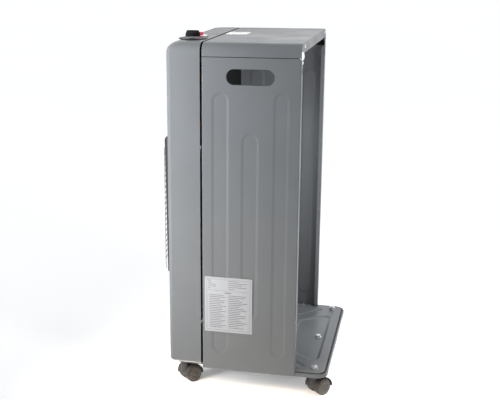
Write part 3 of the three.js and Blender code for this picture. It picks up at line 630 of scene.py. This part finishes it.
def base_outline(inset):
    """The tray's plan, with a narrower nose between the fascia's sides, at an inset."""
    half, back, front = 208.5 - inset, SHELF_BACK - inset, -60 + inset
    nose, step = 193 - inset, 2.3 + inset
    r, s = 26 - inset, 8 - min(inset, 7)
    return ([(-nose, step)] + arc(-nose + s, front + s, s, 180, 270, 6)
            + arc(nose - s, front + s, s, 270, 360, 6) + [(nose, step), (half, step)]
            + arc(half - r, back - r, r, 0, 90, 10) + arc(-half + r, back - r, r, 90, 180, 10)
            + [(-half, step)])


SEAT = [(-89, 176), (89, 176), (143, 246), (-143, 246)]
SEAT_DEPTH = 2.2


def base_plate():
    b = Build()
    inner, radius, lip = 6.8, 2.6, SHELF_TOP - 1.0

    def row(inset, z):
        return [(x, y, z) for x, y in base_outline(inset)]

    step, seam_floor = row(inner - 0.3, SHELF_TOP - 0.4), lip - 2.4
    b.loft([row(inner, SHELF_TOP), step], closed=True)
    crest = row(radius + 0.1, lip - 0.2)
    # The groove round the tray, inside its rim, in the painted-shade grey.
    b.loft([step, row(inner - 0.4, seam_floor), row(radius + 0.2, seam_floor), crest],
           closed=True, material=1)
    rolled = [row(radius * (1 - s), lip - radius * (1 - c)) for c, s in quarter(6)]
    b.loft([crest, *rolled, row(0, BOTTOM)], closed=True)
    seat = Feature(lambda o: grown(SEAT, (9, 9, 12, 12), o, 6),
                   [(o + 4.5, h) for o, h in wall(SEAT_DEPTH, 8.4, 8)])
    beads = [Feature(capsule((x * 118, 164), (x * 171, 216), 9.6, 8), wall(SEAT_DEPTH, 8.4, 8))
             for x in (-1, 1)]
    edges = [Feature(slot_ring(x - 5, 34, x + 5, 194, 8), wall(-0.9, 5, 6)) for x in (-186, 186)]
    cross = Feature(slot_ring(-120, 40, 120, 52, 8), wall(1.6, 4, 6))
    stems = [hole(round_ring(x, y, 4.4)) for x in (-STEM_X, STEM_X)
             for y in (STEM_FRONT_Y, STEM_REAR_Y)]
    pressed(b, base_outline(inner), [seat, *beads, *edges, cross, *stems],
            lambda u, v, h: (u, v, SHELF_TOP + h))
    sheet(b, "shelf_tray", [GREY, GROOVE_SHADE], "grey_paint", "base_plate")


base_plate()


# ---- Burner surround ----

SURROUND = (-180, 257, 180, 562)


def surround_front(z):
    """How far forward the surround's face stands at a height."""
    return -84 - 4 * (z - SURROUND[1]) / (SURROUND[3] - SURROUND[1])


def burner_surround():
    b = Build()
    x0, z0, x1, z1 = SURROUND
    edge = rounded(*SURROUND, 5, 8)
    rows = [[(x, FRONT - 0.4, z) for x, z in edge]]
    for c, s in quarter(8):
        row = []
        for x, z in edge:
            crown = 11 if z > 540 else 4
            inset = crown * (1 - c)
            u = max(x0 + min(inset, 4), min(x1 - min(inset, 4), x))
            w = max(z0 + min(inset, 3), min(z1 - inset, z))
            row.append((u, surround_front(w) + crown * (1 - s), w))
        rows.append(row)
    b.loft(rows, closed=True)
    throat = [(0.8, 0), (0.23, -0.23), (0, -0.8), (0, -9)]
    opening = Feature(rounded_ring(*WINDOW, 5, 5), throat, cap=False)
    hooks = [hole(round_ring(side * 172, z, 2.2, 12)) for side in (-1, 1) for z in (264, 535)]
    bead = Feature(slot_ring(-150, 544.3, 150, 546.7, 6), wall(0.8, 1.2, 3))
    pressed(b, [(x, z) for x, _, z in rows[-1]], [opening, *hooks, bead],
            lambda u, v, h: (u, surround_front(v) - h, v))
    sheet(b, "surround_frame", [BLACK_PAINT], "black_paint", "burner_surround", 1.0, even=False)


burner_surround()


# ---- Reflector, burners and guard ----

def reflector():
    """Four slanted sides, dished a little, with a gap in the lower one for the pilot."""
    b = Build()

    def corners(x, y, low, high):
        return [Vector((u, y, v)) for u, v in oblong(-x, low, x, high)]

    back, front = corners(157.4, -47.3, 290.5, 509.5), corners(164.4, -72.2, 268.6, 529.4)
    for i, start, end in ((0, 0, 0.5), (0, 0.69, 1), (1, 0, 1), (2, 0, 1), (3, 0, 1)):
        j = (i + 1) % 4
        rows = []
        for k in range(7):
            first, last = front[i].lerp(back[i], k / 6), front[j].lerp(back[j], k / 6)
            dip = 0.8 * math.sin(math.pi * k / 6)
            row = []
            for t in (start, end):
                p = first.lerp(last, t)
                away = Vector((0, 0, p.z - 400) if i in (0, 2) else (p.x, 0, 0))
                row.append(tuple(p - away.normalized() * dip))
            rows.append(row)
        b.loft(rows)
    sheet(b, "reflector_frame", [ALUMINISED], "aluminised_steel", "reflector", 0.8, even=False)


reflector()

BURNER_X = {"left": -104, "centre": 0, "right": 104}


def burner_box(name, x):
    """A shallow pressed box, open to the front."""
    b = Build()
    half, low, high = 48, 294, 506
    skin, floor_y, back_y = 1.2, -32, -12

    def row(y, inset, r):
        return [(x + u, y, v) for u, v in
                rounded(-half + inset, low + inset, half - inset, high - inset, r, 5)]

    inner = [row(y, skin, 2.5) for y in (floor_y, -46)]
    outer = [row(*at_row) for at_row in ((-46, 0, 3.5), (-44, 0, 3.5), (-15, 0, 5), (-13, 0.8, 5),
                                         (back_y, 3, 5), (back_y, 9, 5))]
    b.loft(inner + outer, closed=True)
    boss = Feature(round_ring(x, 400, 22), wall(2, 5, 5))
    pressed(b, [(u, v) for u, _, v in outer[-1]], [boss], lambda u, v, h: (u, back_y + h, v))
    floor = oblong(x - half + skin, low + skin, x + half - skin, high - skin)
    b.face([(u, floor_y, v) for u, v in floor])
    obj = weighted(b.make(f"burner_housing_{name}", [ALUMINISED]))
    stands_for(obj, "aluminised_steel", f"burner_box_{name}")


def ceramic_plaque(name, x):
    """Two drilled tiles, one above the other, in a gasket."""
    b = Build()
    half, low, high = 46.3, 295.7, 504.3
    middle = (low + high) / 2
    for z0, z1 in ((low, middle - 0.4), (middle + 0.4, high)):
        rows = [[(x + u, y, v) for u, v in
                 rounded(-half + inset, z0 + inset, half - inset, z1 - inset, 2, 4)]
                for y, inset in ((-33, 0), (-42.5, 0), (-44.6, 0.6), (-45, 1.6), (-45, 5),
                                 (-44.2, 6.2))]
        b.loft(rows, closed=True)
        b.face(rows[-1])
        b.face(rows[0][::-1])
    obj = weighted(b.make(f"plaque_tiles_{name}", [PLAQUE]))
    stands_for(obj, "plaque_ceramic", f"ceramic_plaque_{name}")


for burner, burner_x in BURNER_X.items():
    burner_box(burner, burner_x)
    ceramic_plaque(burner, burner_x)


WIRES, LOWEST_WIRE, WIRE_PITCH = 20, 283, 12.35


def guard_grille():
    """Wires bowed out over the window, between two side wires and over two stays."""
    b = Build()
    half, side_y, bulge = 172, -92, 12
    along = [-1 + 2 * k / 32 for k in range(33)]
    for i in range(WIRES):
        z = LOWEST_WIRE + WIRE_PITCH * i
        tube(b, [(t * half, side_y - bulge * (1 - t * t), z) for t in along], 1.4)
    y = side_y + 1.2
    for x in (-half, half):
        tube(b, curve_through([
            (x, -80, 264), (x, -90, 264), (x, y, 267), (x, y, LOWEST_WIRE), (x, y, 400),
            (x, y, 518), (x, y, 532), (x, -90, 535), (x, -80, 535)], 6), 1.5)
    for x in (-58, 58):
        y = side_y - bulge * (1 - (x / half) ** 2) + 2.5
        tube(b, [(x, y, z) for z in (281, 400, 520)], 1.3)
    stands_for(b.make("guard_wires", [WIRE], 0.001, 60), "steel_wire", "guard_grille")


guard_grille()


def pilot_burner():
    """The pilot's bracket, jet, probe and spark electrode, as one assembly."""
    b = Build()
    b.loft([[(8.2, y, z), (51.8, y, z)] for y, z in (
        (-59.8, 268), (-52, 268), (-50.2, 268.5), (-49.5, 270.2), (-49.5, 284))])
    bracket = solidify(b.make("pilot_bracket", [ZINC], outward=False))
    stands_for(bracket, "zinc_steel", "pilot_burner")
    low = 266.2
    jet = [(0, low), (3.2, low), (4, 267), (4, 274), (3, 275), (3, 286), (3.9, 287.4),
           (3.9, 291.4), (3, 292), (1.4, 292), (1.2, 289), (0, 289)]
    probe = [(0, low), (2.5, low), (2.5, 280), (2.1, 281), (2.1, 294), (1.4, 297), (0, 298)]
    spark = [(0, low), (2, low), (2, 287.5), (1.5, 289), (0.8, 289.3), (0.8, 294.4), (0, 294.9)]
    for name, x, profile, mat, slot_name in (
            ("pilot_jet", 20, jet, BRASS, "valve_brass"),
            ("pilot_probe", 32, probe, COPPER, "copper_tube"),
            ("spark_insulator", 43, spark, CERAMIC_WHITE, "plaque_ceramic")):
        c = Build()
        turned(c, profile, 24, lambda u, v, h, x=x: (x + u, -55 + v, h))
        stands_for(c.make(name, [mat]), slot_name)


pilot_burner()


# ---- Hose nozzle ----

def hose_nozzle():
    """A ribbed hose tail with a hexagon, through the partition."""
    b = Build()

    def back(u, v, h):
        return NOZZLE_X + u, h, NOZZLE_Z + v

    turned(b, [(2.5, 31), (2.5, 32), (4.0, 32), (5.3, 27.2), (5.4, 26.6), (4.5, 26.2), (4.5, 20.6),
               (5.4, 20), (5.4, 19.4), (4.5, 19), (4.5, 13.6), (5.4, 13), (5.4, 12.4), (4.5, 12),
               (4.5, 8.6), (5, 8), (7.4, 8), (7.4, 7.6)], 32, back)
    turned(b, [(2.5, 32), (2.5, 12), (0, 12)], 32, back)
    rows = [[back(u, v, h) for u, v in circle(r, 6)]
            for h, r in ((7.9, 7.5), (7.4, 8.6), (2.5, 8.6), (1.9, 7.8))]
    b.loft(rows, closed=True)
    b.face(rows[0])
    b.face(rows[-1][::-1])
    turned(b, [(5.8, 1.9), (5.8, -3), (0, -3)], 32, back)
    stands_for(b.make("hose_tail", [BRASS]), "valve_brass", "hose_nozzle")


hose_nozzle()


# ---- Dial plate, knob and button ----

KNOB_END, BUTTON_END = 30, 18


def fascia_top(y):
    """Height of the fascia's top at a depth, over its rounded front edge."""
    over = FRONT + EDGE_R - y
    if over <= 0:
        return TOP
    return TOP - EDGE_R + math.sqrt(max(EDGE_R ** 2 - over ** 2, 0))


def teardrop(o):
    """The dial plate's plan at an offset, narrowing from the knob to the button."""
    lean = math.degrees(math.acos((KNOB_END - BUTTON_END) / (BUTTON_X - KNOB_X)))
    return (arc(KNOB_X, CONTROL_Y, KNOB_END + o, -lean, lean, 30)
            + arc(BUTTON_X, CONTROL_Y, BUTTON_END + o, lean, 360 - lean, 30))


PLATE_FACE = TOP + 1.2


def dial_plate():
    b = Build()
    rows = [[(x, y, max(fascia_top(y) - 1.5, TOP - 12)) for x, y in teardrop(-4)]]
    rows += [[(x, y, TOP + h) for x, y in teardrop(o)] for o, h in (
        (-4, 0.3), (-0.4, 0.2), (0, 0.5), (0, 1.2), (-0.1, 1.6), (-0.4, 1.9), (-0.9, 2.0),
        (-1.7, 2.0), (-2.1, 1.8), (-2.4, 1.2))]
    b.loft(rows, closed=True)
    holes = [Feature(round_ring(x, CONTROL_Y, r), [(0, 0), (-lean, -0.3), (-lean, -3)], cap=False)
             for x, r, lean in ((KNOB_X, KNOB_HOLE, 0.3), (BUTTON_X, PLATE_BUTTON_HOLE, 0.2))]
    pressed(b, [(x, y) for x, y, _ in rows[-1]], holes, lambda u, v, h: (u, v, PLATE_FACE + h))
    stands_for(b.make("dial_plate_face", [GLOSS_BLACK]), "black_plastic", "dial_plate")
    dial_marks()


def dial_marks():
    """Generic heat marks: bars of growing length round the knob."""
    b = Build()
    centre = Vector((KNOB_X, CONTROL_Y))
    for k in range(4):
        way = Vector(polar(-60 + 40 * k))
        across = Vector((-way.y, way.x)) * 0.55
        p, q = centre + way * 20, centre + way * (21.6 + 0.7 * k)
        low, high = ([(u.x, u.y, z) for u in (p - across, p + across, q + across, q - across)]
                     for z in (PLATE_FACE, PLATE_FACE + 0.12))
        b.face(high)
        b.strip(low, high, closed=True)
    stands_for(b.make("dial_marks", [PALE_INK]), "label_film")


dial_plate()


def control_knob():
    """A round knob with a grip bar across it, ridges round it and a pointer."""
    low, high = TOP + 5.5, TOP + 18.5

    def put(u, v, h):
        return KNOB_X + u, CONTROL_Y + v, h

    def part(build, name, mat, slot_name, *nodes):
        stands_for(build.make(name, [mat]), slot_name, *nodes, body="control_knob")

    b = Build()
    turned(b, [(5.6, low + 0.4), (12.9, low + 0.4), (13.4, low), (15.4, low), (15.9, low + 0.6),
               (15.9, low + 1.4), (15.5, low + 2), (14.9, low + 6.5), (14.5, low + 8.2),
               (14.1, low + 8.9), (13.4, low + 9.2), (0, low + 9.2)], 72, put)
    part(b, "knob_skirt", BLACK_PLASTIC, "black_plastic", "control_knob")
    grip = Build()
    rows = [[put(u, v, z - crown * (v / long) ** 2)
             for u, v in rounded(-half, -long, half, long, half * 0.9, 8)]
            for z, half, long, crown in (
                (low + 8.4, 4.6, 14.3, 0), (low + 9.6, 3.4, 13.9, 0), (low + 11, 2.7, 13.3, 0.4),
                (high - 0.8, 2.4, 12.7, 0.8), (high - 0.25, 2.1, 12.2, 0.9),
                (high, 1.5, 11.5, 0.9))]
    grip.loft(rows, closed=True)
    grip.face(rows[-1])
    part(grip, "knob_grip", BLACK_PLASTIC, "black_plastic")
    ridges = Build()
    for k in range(36):
        c, s = polar(10 * k)
        rows = [[put(c * (r + e) - s * w, s * (r + e) + c * w, z)
                 for e, w in ((-0.6, -0.5), (0.28, -0.25), (0.28, 0.25), (-0.6, 0.5))]
                for r, z in ((15.4, low + 2.2), (15.0, low + 5), (14.4, low + 8))]
        ridges.loft(rows)
        ridges.face(rows[-1])
        ridges.face(rows[0])
    part(ridges, "knob_ridges", BLACK_PLASTIC, "black_plastic")
    pointer = Build()
    block(pointer, *put(-0.5, -12.4, high - 0.1), *put(0.5, -6, high))
    part(pointer, "knob_pointer", PALE_INK, "label_film")


control_knob()


def igniter_button():
    """The red button and the polished ring round it."""
    top, foot, r = TOP + 9, TOP - 38, BUTTON_RADIUS

    def put(u, v, h):
        return BUTTON_X + u, CONTROL_Y + v, h

    b = Build()
    turned(b, [(0, foot), (r, foot), (r, top - 1.4), (6.6, top - 0.7), (6.1, top - 0.2),
               (5.5, top), (5, top - 0.1), (4, top - 0.4), (0, top - 0.5)], 40, put)
    obj = b.make("button_cap", [RED_PLASTIC])
    stands_for(obj, "red_plastic", "igniter_button", body="igniter_button")
    ring = Build()
    turned(ring, [(u, TOP + h) for u, h in (
        (7.5, 0.4), (7.5, 1.5), (7.9, 1.9), (12, 1.5), (12.8, 1.9), (14.2, 2.6), (15.4, 2.7),
        (16.3, 2.3), (16.7, 1.25))], 56, put)
    stands_for(ring.make("button_collar", [RIM_METAL], outward=False), "zinc_steel")


igniter_button()


# ---- Label and sticker ----

def film(name, mat, node_name, box, corner, levels, to3d):
    """A label's film. Levels are (inset, height); to3d takes (u, v, height)."""
    b = Build()
    u0, v0, u1, v1 = box
    rows = [[to3d(u, v, h) for u, v in
             rounded(u0 + inset, v0 + inset, u1 - inset, v1 - inset, corner, 4)]
            for inset, h in levels]
    b.loft(rows, closed=True)
    b.face(rows[-1])
    stands_for(b.make(name, [mat]), "label_film", node_name)


def bars(name, rows, to3d):
    """Thin printed bars, each (u0, v0, u1, v1), lying on a film."""
    b = Build()
    for row in rows:
        b.face([to3d(u, v) for u, v in oblong(*row)])
    stands_for(b.make(name, [INK], weld=0.0001), "black_plastic")


def rating_label():
    film("label_film_side", FILM, "rating_label", LABEL, 1.2,
         ((0, 0.02), (0, 0.25), (0.25, 0.31)), lambda u, v, h: (HALF + h, u, v))
    margin, line = 4.5, 0.55
    y0, z0, y1, z1 = (v + d for v, d in zip(LABEL, (margin, margin, -margin, -margin)))
    middle = (y0 + y1) / 2
    ink = [(y0, z0, y1, z0 + line), (y0, z1 - line, y1, z1), (y0, z0, y0 + line, z1),
           (y1 - line, z0, y1, z1), (y0, z1 - 26, y1, z1 - 26 + line)]
    for k, (left, right) in enumerate(((0.16, 0.5), (0.2, 0.92), (0.44, 0.66), (0.44, 0.9),
                                       (0.16, 0.3))):
        z = z1 - 4.2 - 4.4 * k
        ink += [(y0 + 3, z, y0 + 3 + left * 38, z + 1.1),
                (middle, z, middle + right * (y1 - middle - 3), z + 1.1)]
    ink.append((middle - 8, z1 - 31.5, middle + 6, z1 - 29.6))
    for k in range(19):
        z = z1 - 37 - 4.1 * k
        first = 0.82 + 0.16 * math.sin(2.3 * k)
        second = 0.74 + 0.2 * math.sin(1.7 * k + 1)
        ink += [(y0 + 2.2, z, y0 + 3.4, z + 1.3),
                (y0 + 6, z, y0 + 6 + first * (middle - y0 - 10), z + 1.3),
                (middle, z, middle + second * (y1 - middle - 4), z + 1.3)]
    bars("label_print_side", ink, lambda u, v: (HALF + 0.33, u, v))


def top_sticker():
    film("label_film_top", PAPER, "top_sticker", STICKER, 1.5,
         ((0, 0.02), (0, 0.28), (0.25, 0.35)), lambda u, v, h: (u, v, TOP + h))
    ink = [(-52, 46, -2, 47)]
    ink += [(-52, 12 + 6 * k, -8 - 9 * (k % 2), 13.2 + 6 * k) for k in range(5)]
    bars("label_print_top", ink, lambda u, v: (u, v, TOP + 0.37))


rating_label()
top_sticker()


# ---- Screws, stems and nuts ----

def screw_head(name, to3d, r=3.4, nodes=()):
    """A pan head with a cross recess. to3d takes the head's own (u, v, height)."""
    b = Build(lambda x, y, z: at(*to3d(x, y, z)))
    arm, wide = 0.52 * r, 0.13 * r
    cross = [(c * u - s * v, s * u + c * v) for c, s in ((1, 0), (0, 1), (-1, 0), (0, -1))
             for u, v in ((arm, -wide), (arm, wide), (wide, wide))]
    flat_r, flat_z, sides = 0.6 * r, 2.35, 28

    def crown(u, v):
        return u, v, flat_z + 0.3 * (1 - (u * u + v * v) / flat_r ** 2)

    turned(b, [(r, 0.1), (r, 0.5), (0.94 * r, 1.2), (0.8 * r, 1.9), (flat_r, flat_z)], sides)
    b.fill(circle(flat_r, sides), [cross], crown)
    low = [(u * 0.55, v * 0.55, 1.0) for u, v in cross]
    b.strip([crown(*p) for p in cross], low, closed=True)
    b.face(low)
    stands_for(b.make(name, [ZINC]), "zinc_steel", *nodes)


for side, x in (("right", COVER_SCREW_X), ("left", -COVER_SCREW_X)):
    screw_head(f"screw_top_{side}",
               lambda u, v, h, x=x: (x + u, DEPTH + 0.1 + h, COVER_SCREW_Z + v), 4,
               (f"top_screw_{side}",))


def rear_clip():
    """A small spring clip on the right panel's rear flange, under the top cover, near white:
    bright steel with a painted glint.
    """
    b = Build()
    low, height, outer, width, sheet_y, steps = 729.6, 16.4, 209.4, 18.4, 206.25, 12
    rows = []
    for i in range(steps + 1):
        bulge = 3.4 * math.sqrt(max(1 - (2 * i / steps - 1) ** 2, 0)) + 0.1
        rows.append([(outer - width * k / steps,
                      sheet_y + bulge * math.sin(math.pi * k / steps) ** 0.7,
                      low + height * i / steps) for k in range(steps + 1)])
    b.loft(rows)
    clip = b.make("spring_clip", [GLINT_STEEL], outward=False)
    stands_for(solidify(clip, 0.4, offset=0), "zinc_steel")
    b = Build()
    block(b, 197.5, sheet_y - 0.2, 721.5, 202.5, sheet_y + 1.6, 727.5)
    stands_for(bevel(b.make("spring_clip_tab", [GLINT_STEEL]), 0.2), "zinc_steel")


rear_clip()


def shelf_bolt():
    """The hexagonal bolt and washer on the floor of the shelf's seat."""
    b = Build(lambda x, y, z: at(x, 231 + y, SHELF_TOP - SEAT_DEPTH + z))
    turned(b, [(3, -10), (3, 0.3), (7.6, 0.3), (8, 0.5), (8, 1.3), (7.6, 1.6), (5, 1.6)], 36)
    b.face([(u, v, -10) for u, v in circle(3, 36)])
    rows = [[(u, v, h) for u, v in circle(r, 6)] for r, h in ((6.8, 1.6), (6.8, 5.2), (6.1, 5.8))]
    b.loft(rows, closed=True)
    b.face(rows[-1])
    stands_for(b.make("shelf_bolt_head", [ZINC], weld=0.001), "zinc_steel", "shelf_bolt")


shelf_bolt()
for n, (x, y) in enumerate((x, y) for y in (170, 40) for x in (-198, 198)):
    screw_head(f"screw_base_{n}", lambda u, v, h, x=x, y=y: (x + u, y + v, SHELF_TOP + h))
for n, (x, z) in enumerate((x, z) for z in (90, 400, 720) for x in (-190, 190)):
    screw_head(f"screw_partition_{n}", lambda u, v, h, x=x, z=z: (x + u, 1.8 + h, z + v))


# ---- Castors ----

# Each castor's stem and the direction it trails in, in degrees from +X
CASTORS = {"front_right": (STEM_X, STEM_FRONT_Y, 139), "rear_right": (STEM_X, STEM_REAR_Y, 139),
           "front_left": (-STEM_X, STEM_FRONT_Y, 62), "rear_left": (-STEM_X, STEM_REAR_Y, -60)}
TRAIL, AXLE_Z, WEB = 14, 19, 4.75
HOOD_SWEEP = (-4, 184)


def castor(name, x, y, turn):
    """A hooded twin-wheel castor, drawn trailing towards its own +X."""
    c, s = polar(turn)

    def local(u, v, h):
        return at(x + u * c - v * s, y + u * s + v * c, h)

    body = f"castor_{name}"
    castor_hood(body, local)
    castor_stem(body, local)
    for wheel, side in (("a", 1), ("b", -1)):
        castor_wheel(f"{body}_wheel_{wheel}", side, local)


def castor_hood(body, local):
    """The hood over both wheels, the web between them and the socket for the stem."""
    def axle(u, v, h):
        return TRAIL + u, h, AXLE_Z + v

    def part(obj, *nodes):
        stands_for(obj, "castor_plastic", *nodes, body=body)

    hood = Build(local)
    half = [(20.3, WEB), (20.3, 19.6), (20.6, 20.3), (21.3, 20.5), (21.8, 20.1), (22, 19.2),
            (22, 12)]
    outer = [*half, (22, 0), *[(r, -h) for r, h in half[::-1]]]
    turned(hood, outer, 40, axle, sweep=HOOD_SWEEP)
    for end in HOOD_SWEEP:
        c, s = polar(end)
        hood.face([axle(r * c, r * s, h) for r, h in outer])
    web = Build(local)
    outline = arc(0, 0, 20.6, *HOOD_SWEEP, 30) + [(-11, -1.4), (-9, -7), (9, -7), (11, -1.4)]
    ring = circle(3.3, 20)
    for h in (-WEB, WEB):
        web.fill(outline, [ring], lambda u, v, h=h: axle(u, v, h))
    for loop in (outline, ring):
        web.strip(*([axle(u, v, h) for u, v in loop] for h in (-WEB, WEB)), closed=True)
    socket = Build(local)
    turned(socket, [(4.2, 44), (4.2, 53.1), (8.2, 53.1), (9.1, 52.7), (9.5, 51.8), (9.5, 43),
                    (9.6, 38), (9.8, 30), (9.5, 24)], 40)
    part(bevel(hood.make(f"{body}_hood_cover", [HOOD]), 0.35), f"{body}_hood")
    part(web.make(f"{body}_hood_web", [HOOD]))
    part(socket.make(f"{body}_hood_socket", [HOOD], outward=False))


def castor_stem(body, local):
    """The collared stem, threaded above the shelf, with its nut and washer."""
    b = Build(local)
    top, pitch = SHELF_TOP + 8, 1.1
    profile = [(0, 40.6), (4, 40.6), (4, 53.4), (7.6, 53.4), (8, 53.8), (8, 57.6), (7.6, 58),
               (4, 58)]
    z = SHELF_TOP - 1
    while z < top - 1.2:
        profile += [(4, z), (3.6, z + pitch / 2), (4, z + pitch)]
        z += pitch
    profile += [(3.4, top), (2.3, top), (2, top - 2), (0, top - 2)]
    turned(b, profile, 24)
    stem = b.make(f"{body}_stem_threaded", [ZINC], weld=0.001)
    stands_for(stem, "zinc_steel", f"{body}_stem")
    b = Build(local)
    low, high, bore_r = SHELF_TOP + 0.3, SHELF_TOP + 6, 4.15
    b.loft([[(u, v, h) for u, v in circle(r, 6)] for r, h in (
        (6.9, low + 0.9), (7.5, low + 1.3), (7.5, high - 0.5), (6.8, high))], closed=True)
    bore = circle(bore_r, 24)
    b.fill(circle(6.8, 6), [bore], lambda u, v: (u, v, high))
    b.strip(*([(u, v, h) for u, v in bore] for h in (high, low)), closed=True)
    turned(b, [(bore_r, low + 0.9), (7.2, low + 0.9), (7.5, low + 0.7), (7.5, low),
               (bore_r, low)], 32)
    nut = b.make(f"{body}_nut_washer", [ZINC], weld=0.001)
    stands_for(nut, "zinc_steel", f"{body}_nut")


def castor_wheel(name, side, local):
    """A disc with a tread, on one side of the web."""
    b = Build(local)

    def axle(u, v, h):
        return TRAIL + u, side * (WEB + 0.5 + h), AXLE_Z + v

    turned(b, [(3.1, 10), (3.1, 0), (16.8, 0), (18.3, 0.5), (19, 1.6)], 56, axle)
    turned(b, [(19, 1.6), (19, 11.2), (18.7, 12.2), (18.1, 12.9), (17.2, 13.3)], 56, axle,
           material=1)
    turned(b, [(17.2, 13.3), (16.6, 13.2), (16.2, 12.9), (15.8, 13.3), (14.6, 13.8), (11, 14.3),
               (7.6, 14.5), (7.3, 14.3), (7.0, 13.7), (6.7, 13.5), (6.3, 13.8), (5.8, 14.2),
               (3.4, 14.5), (0, 14.5)], 56, axle)
    obj = b.make(f"{name}_disc", [CASTOR, TREAD], weld=0.001, sharp=40)
    stands_for(obj, "castor_plastic", name, body=name)


for castor_name, place in CASTORS.items():
    castor(castor_name, *place)


# ---- CAD nodes that stay, with a finish of their own ----

KEPT = (
    (BRASS, ("gas_valve",)),
    (COPPER, ("gas_pipe_left", "gas_pipe_centre", "gas_pipe_right", "inlet_pipe",
              "thermocouple_lead")),
    (TUBE_METAL, ("pilot_pipe",)),
    (BLACK_PLASTIC, ("ignition_lead", "piezo_igniter")),
    (ZINC, ("valve_plunger", "valve_spindle", *[f"castor_{name}_axle" for name in CASTORS])),
)
for finish, names in KEPT:
    for name in names:
        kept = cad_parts[name].data.materials
        kept.clear()
        kept.append(finish)


# ---- Floor, light and camera ----

def stage_floor():
    """An even white floor, wide enough to reach the horizon."""
    b = Build(lambda x, y, z: Vector((x, y, z)))
    size = 90
    b.face([(x, y, 0) for x, y in oblong(-size, -size, size, size)])
    pale = material("pale_floor", (0.96, 0.96, 0.96), 0.85, vary=0.004, vary_scale=0.7, bump=0.0,
                    specular=0.1)
    put_in(pale.node_tree, pale.node_tree.nodes["Principled BSDF"],
           {"Emission Color": (1, 1, 1, 1), "Emission Strength": 0.12})
    b.make("floor", [pale])


# Soft lights: name, place and target in metres, width, height, power in watts, spread, colour
WHITE, WARM = (1, 1, 1), (1, 0.72, 0.42)
LIGHTS = (
    ("key", (0.52, -0.44, 0.58), (0.2, -0.19, 0.52), 0.25, 0.9, 4.7, 75, WHITE),
    ("shelf_light", (0.1, 0.55, 1.6), (0, 0.13, 0.05), 0.4, 0.4, 1.0, 28, WHITE),
    ("rear_fill", (0.75, 1.1, 0.95), (-0.2, 0.1, 0.45), 0.4, 0.4, 2.0, 70, WHITE),
    ("bay_fill", (0.18, 0.03, 0.45), (-0.2, 0.01, 0.42), 0.16, 0.16, 1.2, 150, WHITE),
    ("low_fill", (0.8, -0.3, 0.72), (0.22, 0, 0.08), 0.3, 0.3, 0.5, 46, WARM),
)


def area(name, place, toward, width, height, power, spread, colour):
    data = bpy.data.lights.new(name, "AREA")
    data.energy, data.color = power, colour
    data.shape, data.size, data.size_y = "RECTANGLE", width, height
    data.spread = math.radians(spread)
    obj = bpy.data.objects.new(name, data)
    obj.location = place
    direction = Vector(toward) - Vector(place)
    obj.rotation_euler = direction.to_track_quat("-Z", "Y").to_euler()
    obj.visible_camera = obj.visible_glossy = False
    SCENE.collection.objects.link(obj)


# The studio's brightness by the height of the direction, from level (0) to overhead (1)
SKY = ((0.15, 0.92), (0.4, 1.0), (0.65, 1.15), (0.88, 0.5))
REAR_RIGHT = (0.88, 0.48, 0)


def studio():
    """A pale studio, darker overhead and, above the horizon, towards the rear right."""
    world = bpy.data.worlds.new("studio")
    SCENE.world = world
    world.use_nodes = True
    tree = world.node_tree
    way = node(tree, "TexCoord", {}).outputs["Generated"]
    height = node(tree, "SeparateXYZ", {"Vector": way}).outputs["Z"]
    ramp = node(tree, "ValToRGB", {"Fac": height})
    stops = ramp.color_ramp.elements
    stops[0].position, stops[0].color = 0.0, (0.88, 0.88, 0.885, 1)
    stops[1].position, stops[1].color = 1.0, (0.42, 0.43, 0.45, 1)
    for position, level in SKY:
        stops.new(position).color = (level * 0.985, level, level * 1.01, 1)
    facing = node(tree, "VectorMath", {0: way, 1: REAR_RIGHT}, "DOT_PRODUCT").outputs["Value"]
    share = node(tree, "Math", {0: ranged(tree, facing, 0, 0.8, 0, 0.58),
                                1: ranged(tree, height, 0.06, 0.2)}, "MULTIPLY")
    colour = mixed(tree, share.outputs["Value"], ramp.outputs["Color"], (0, 0, 0, 1))
    put_in(tree, tree.nodes["Background"], {"Color": colour, "Strength": 1.32})
    for light in LIGHTS:
        area(*light)


CAMERA_AT = (2.0512, 0.3665, 0.9371)
YAW, PITCH, ROLL = 13.944, 14.912, -0.295


def camera():
    """At the photograph's viewing angle: from the rear right, a little above."""
    data = bpy.data.cameras.new("view")
    data.lens, data.sensor_width = 67.03, 36
    data.shift_x, data.shift_y = 0.099, 0.0014
    data.clip_end = 200
    obj = bpy.data.objects.new("view", data)
    (cy, sy), (cp, sp), (cr, sr) = polar(YAW), polar(PITCH), polar(ROLL)
    ahead = Vector((-cp * cy, -cp * sy, -sp))
    right = ahead.cross(Vector((0, 0, 1))).normalized()
    up = right.cross(ahead)
    turn = Matrix((right * cr + up * sr, up * cr - right * sr, -ahead)).transposed().to_4x4()
    obj.matrix_world = Matrix.Translation(CAMERA_AT) @ turn
    SCENE.collection.objects.link(obj)
    SCENE.camera = obj


stage_floor()
studio()
camera()
SCENE.view_settings.view_transform = "Standard"
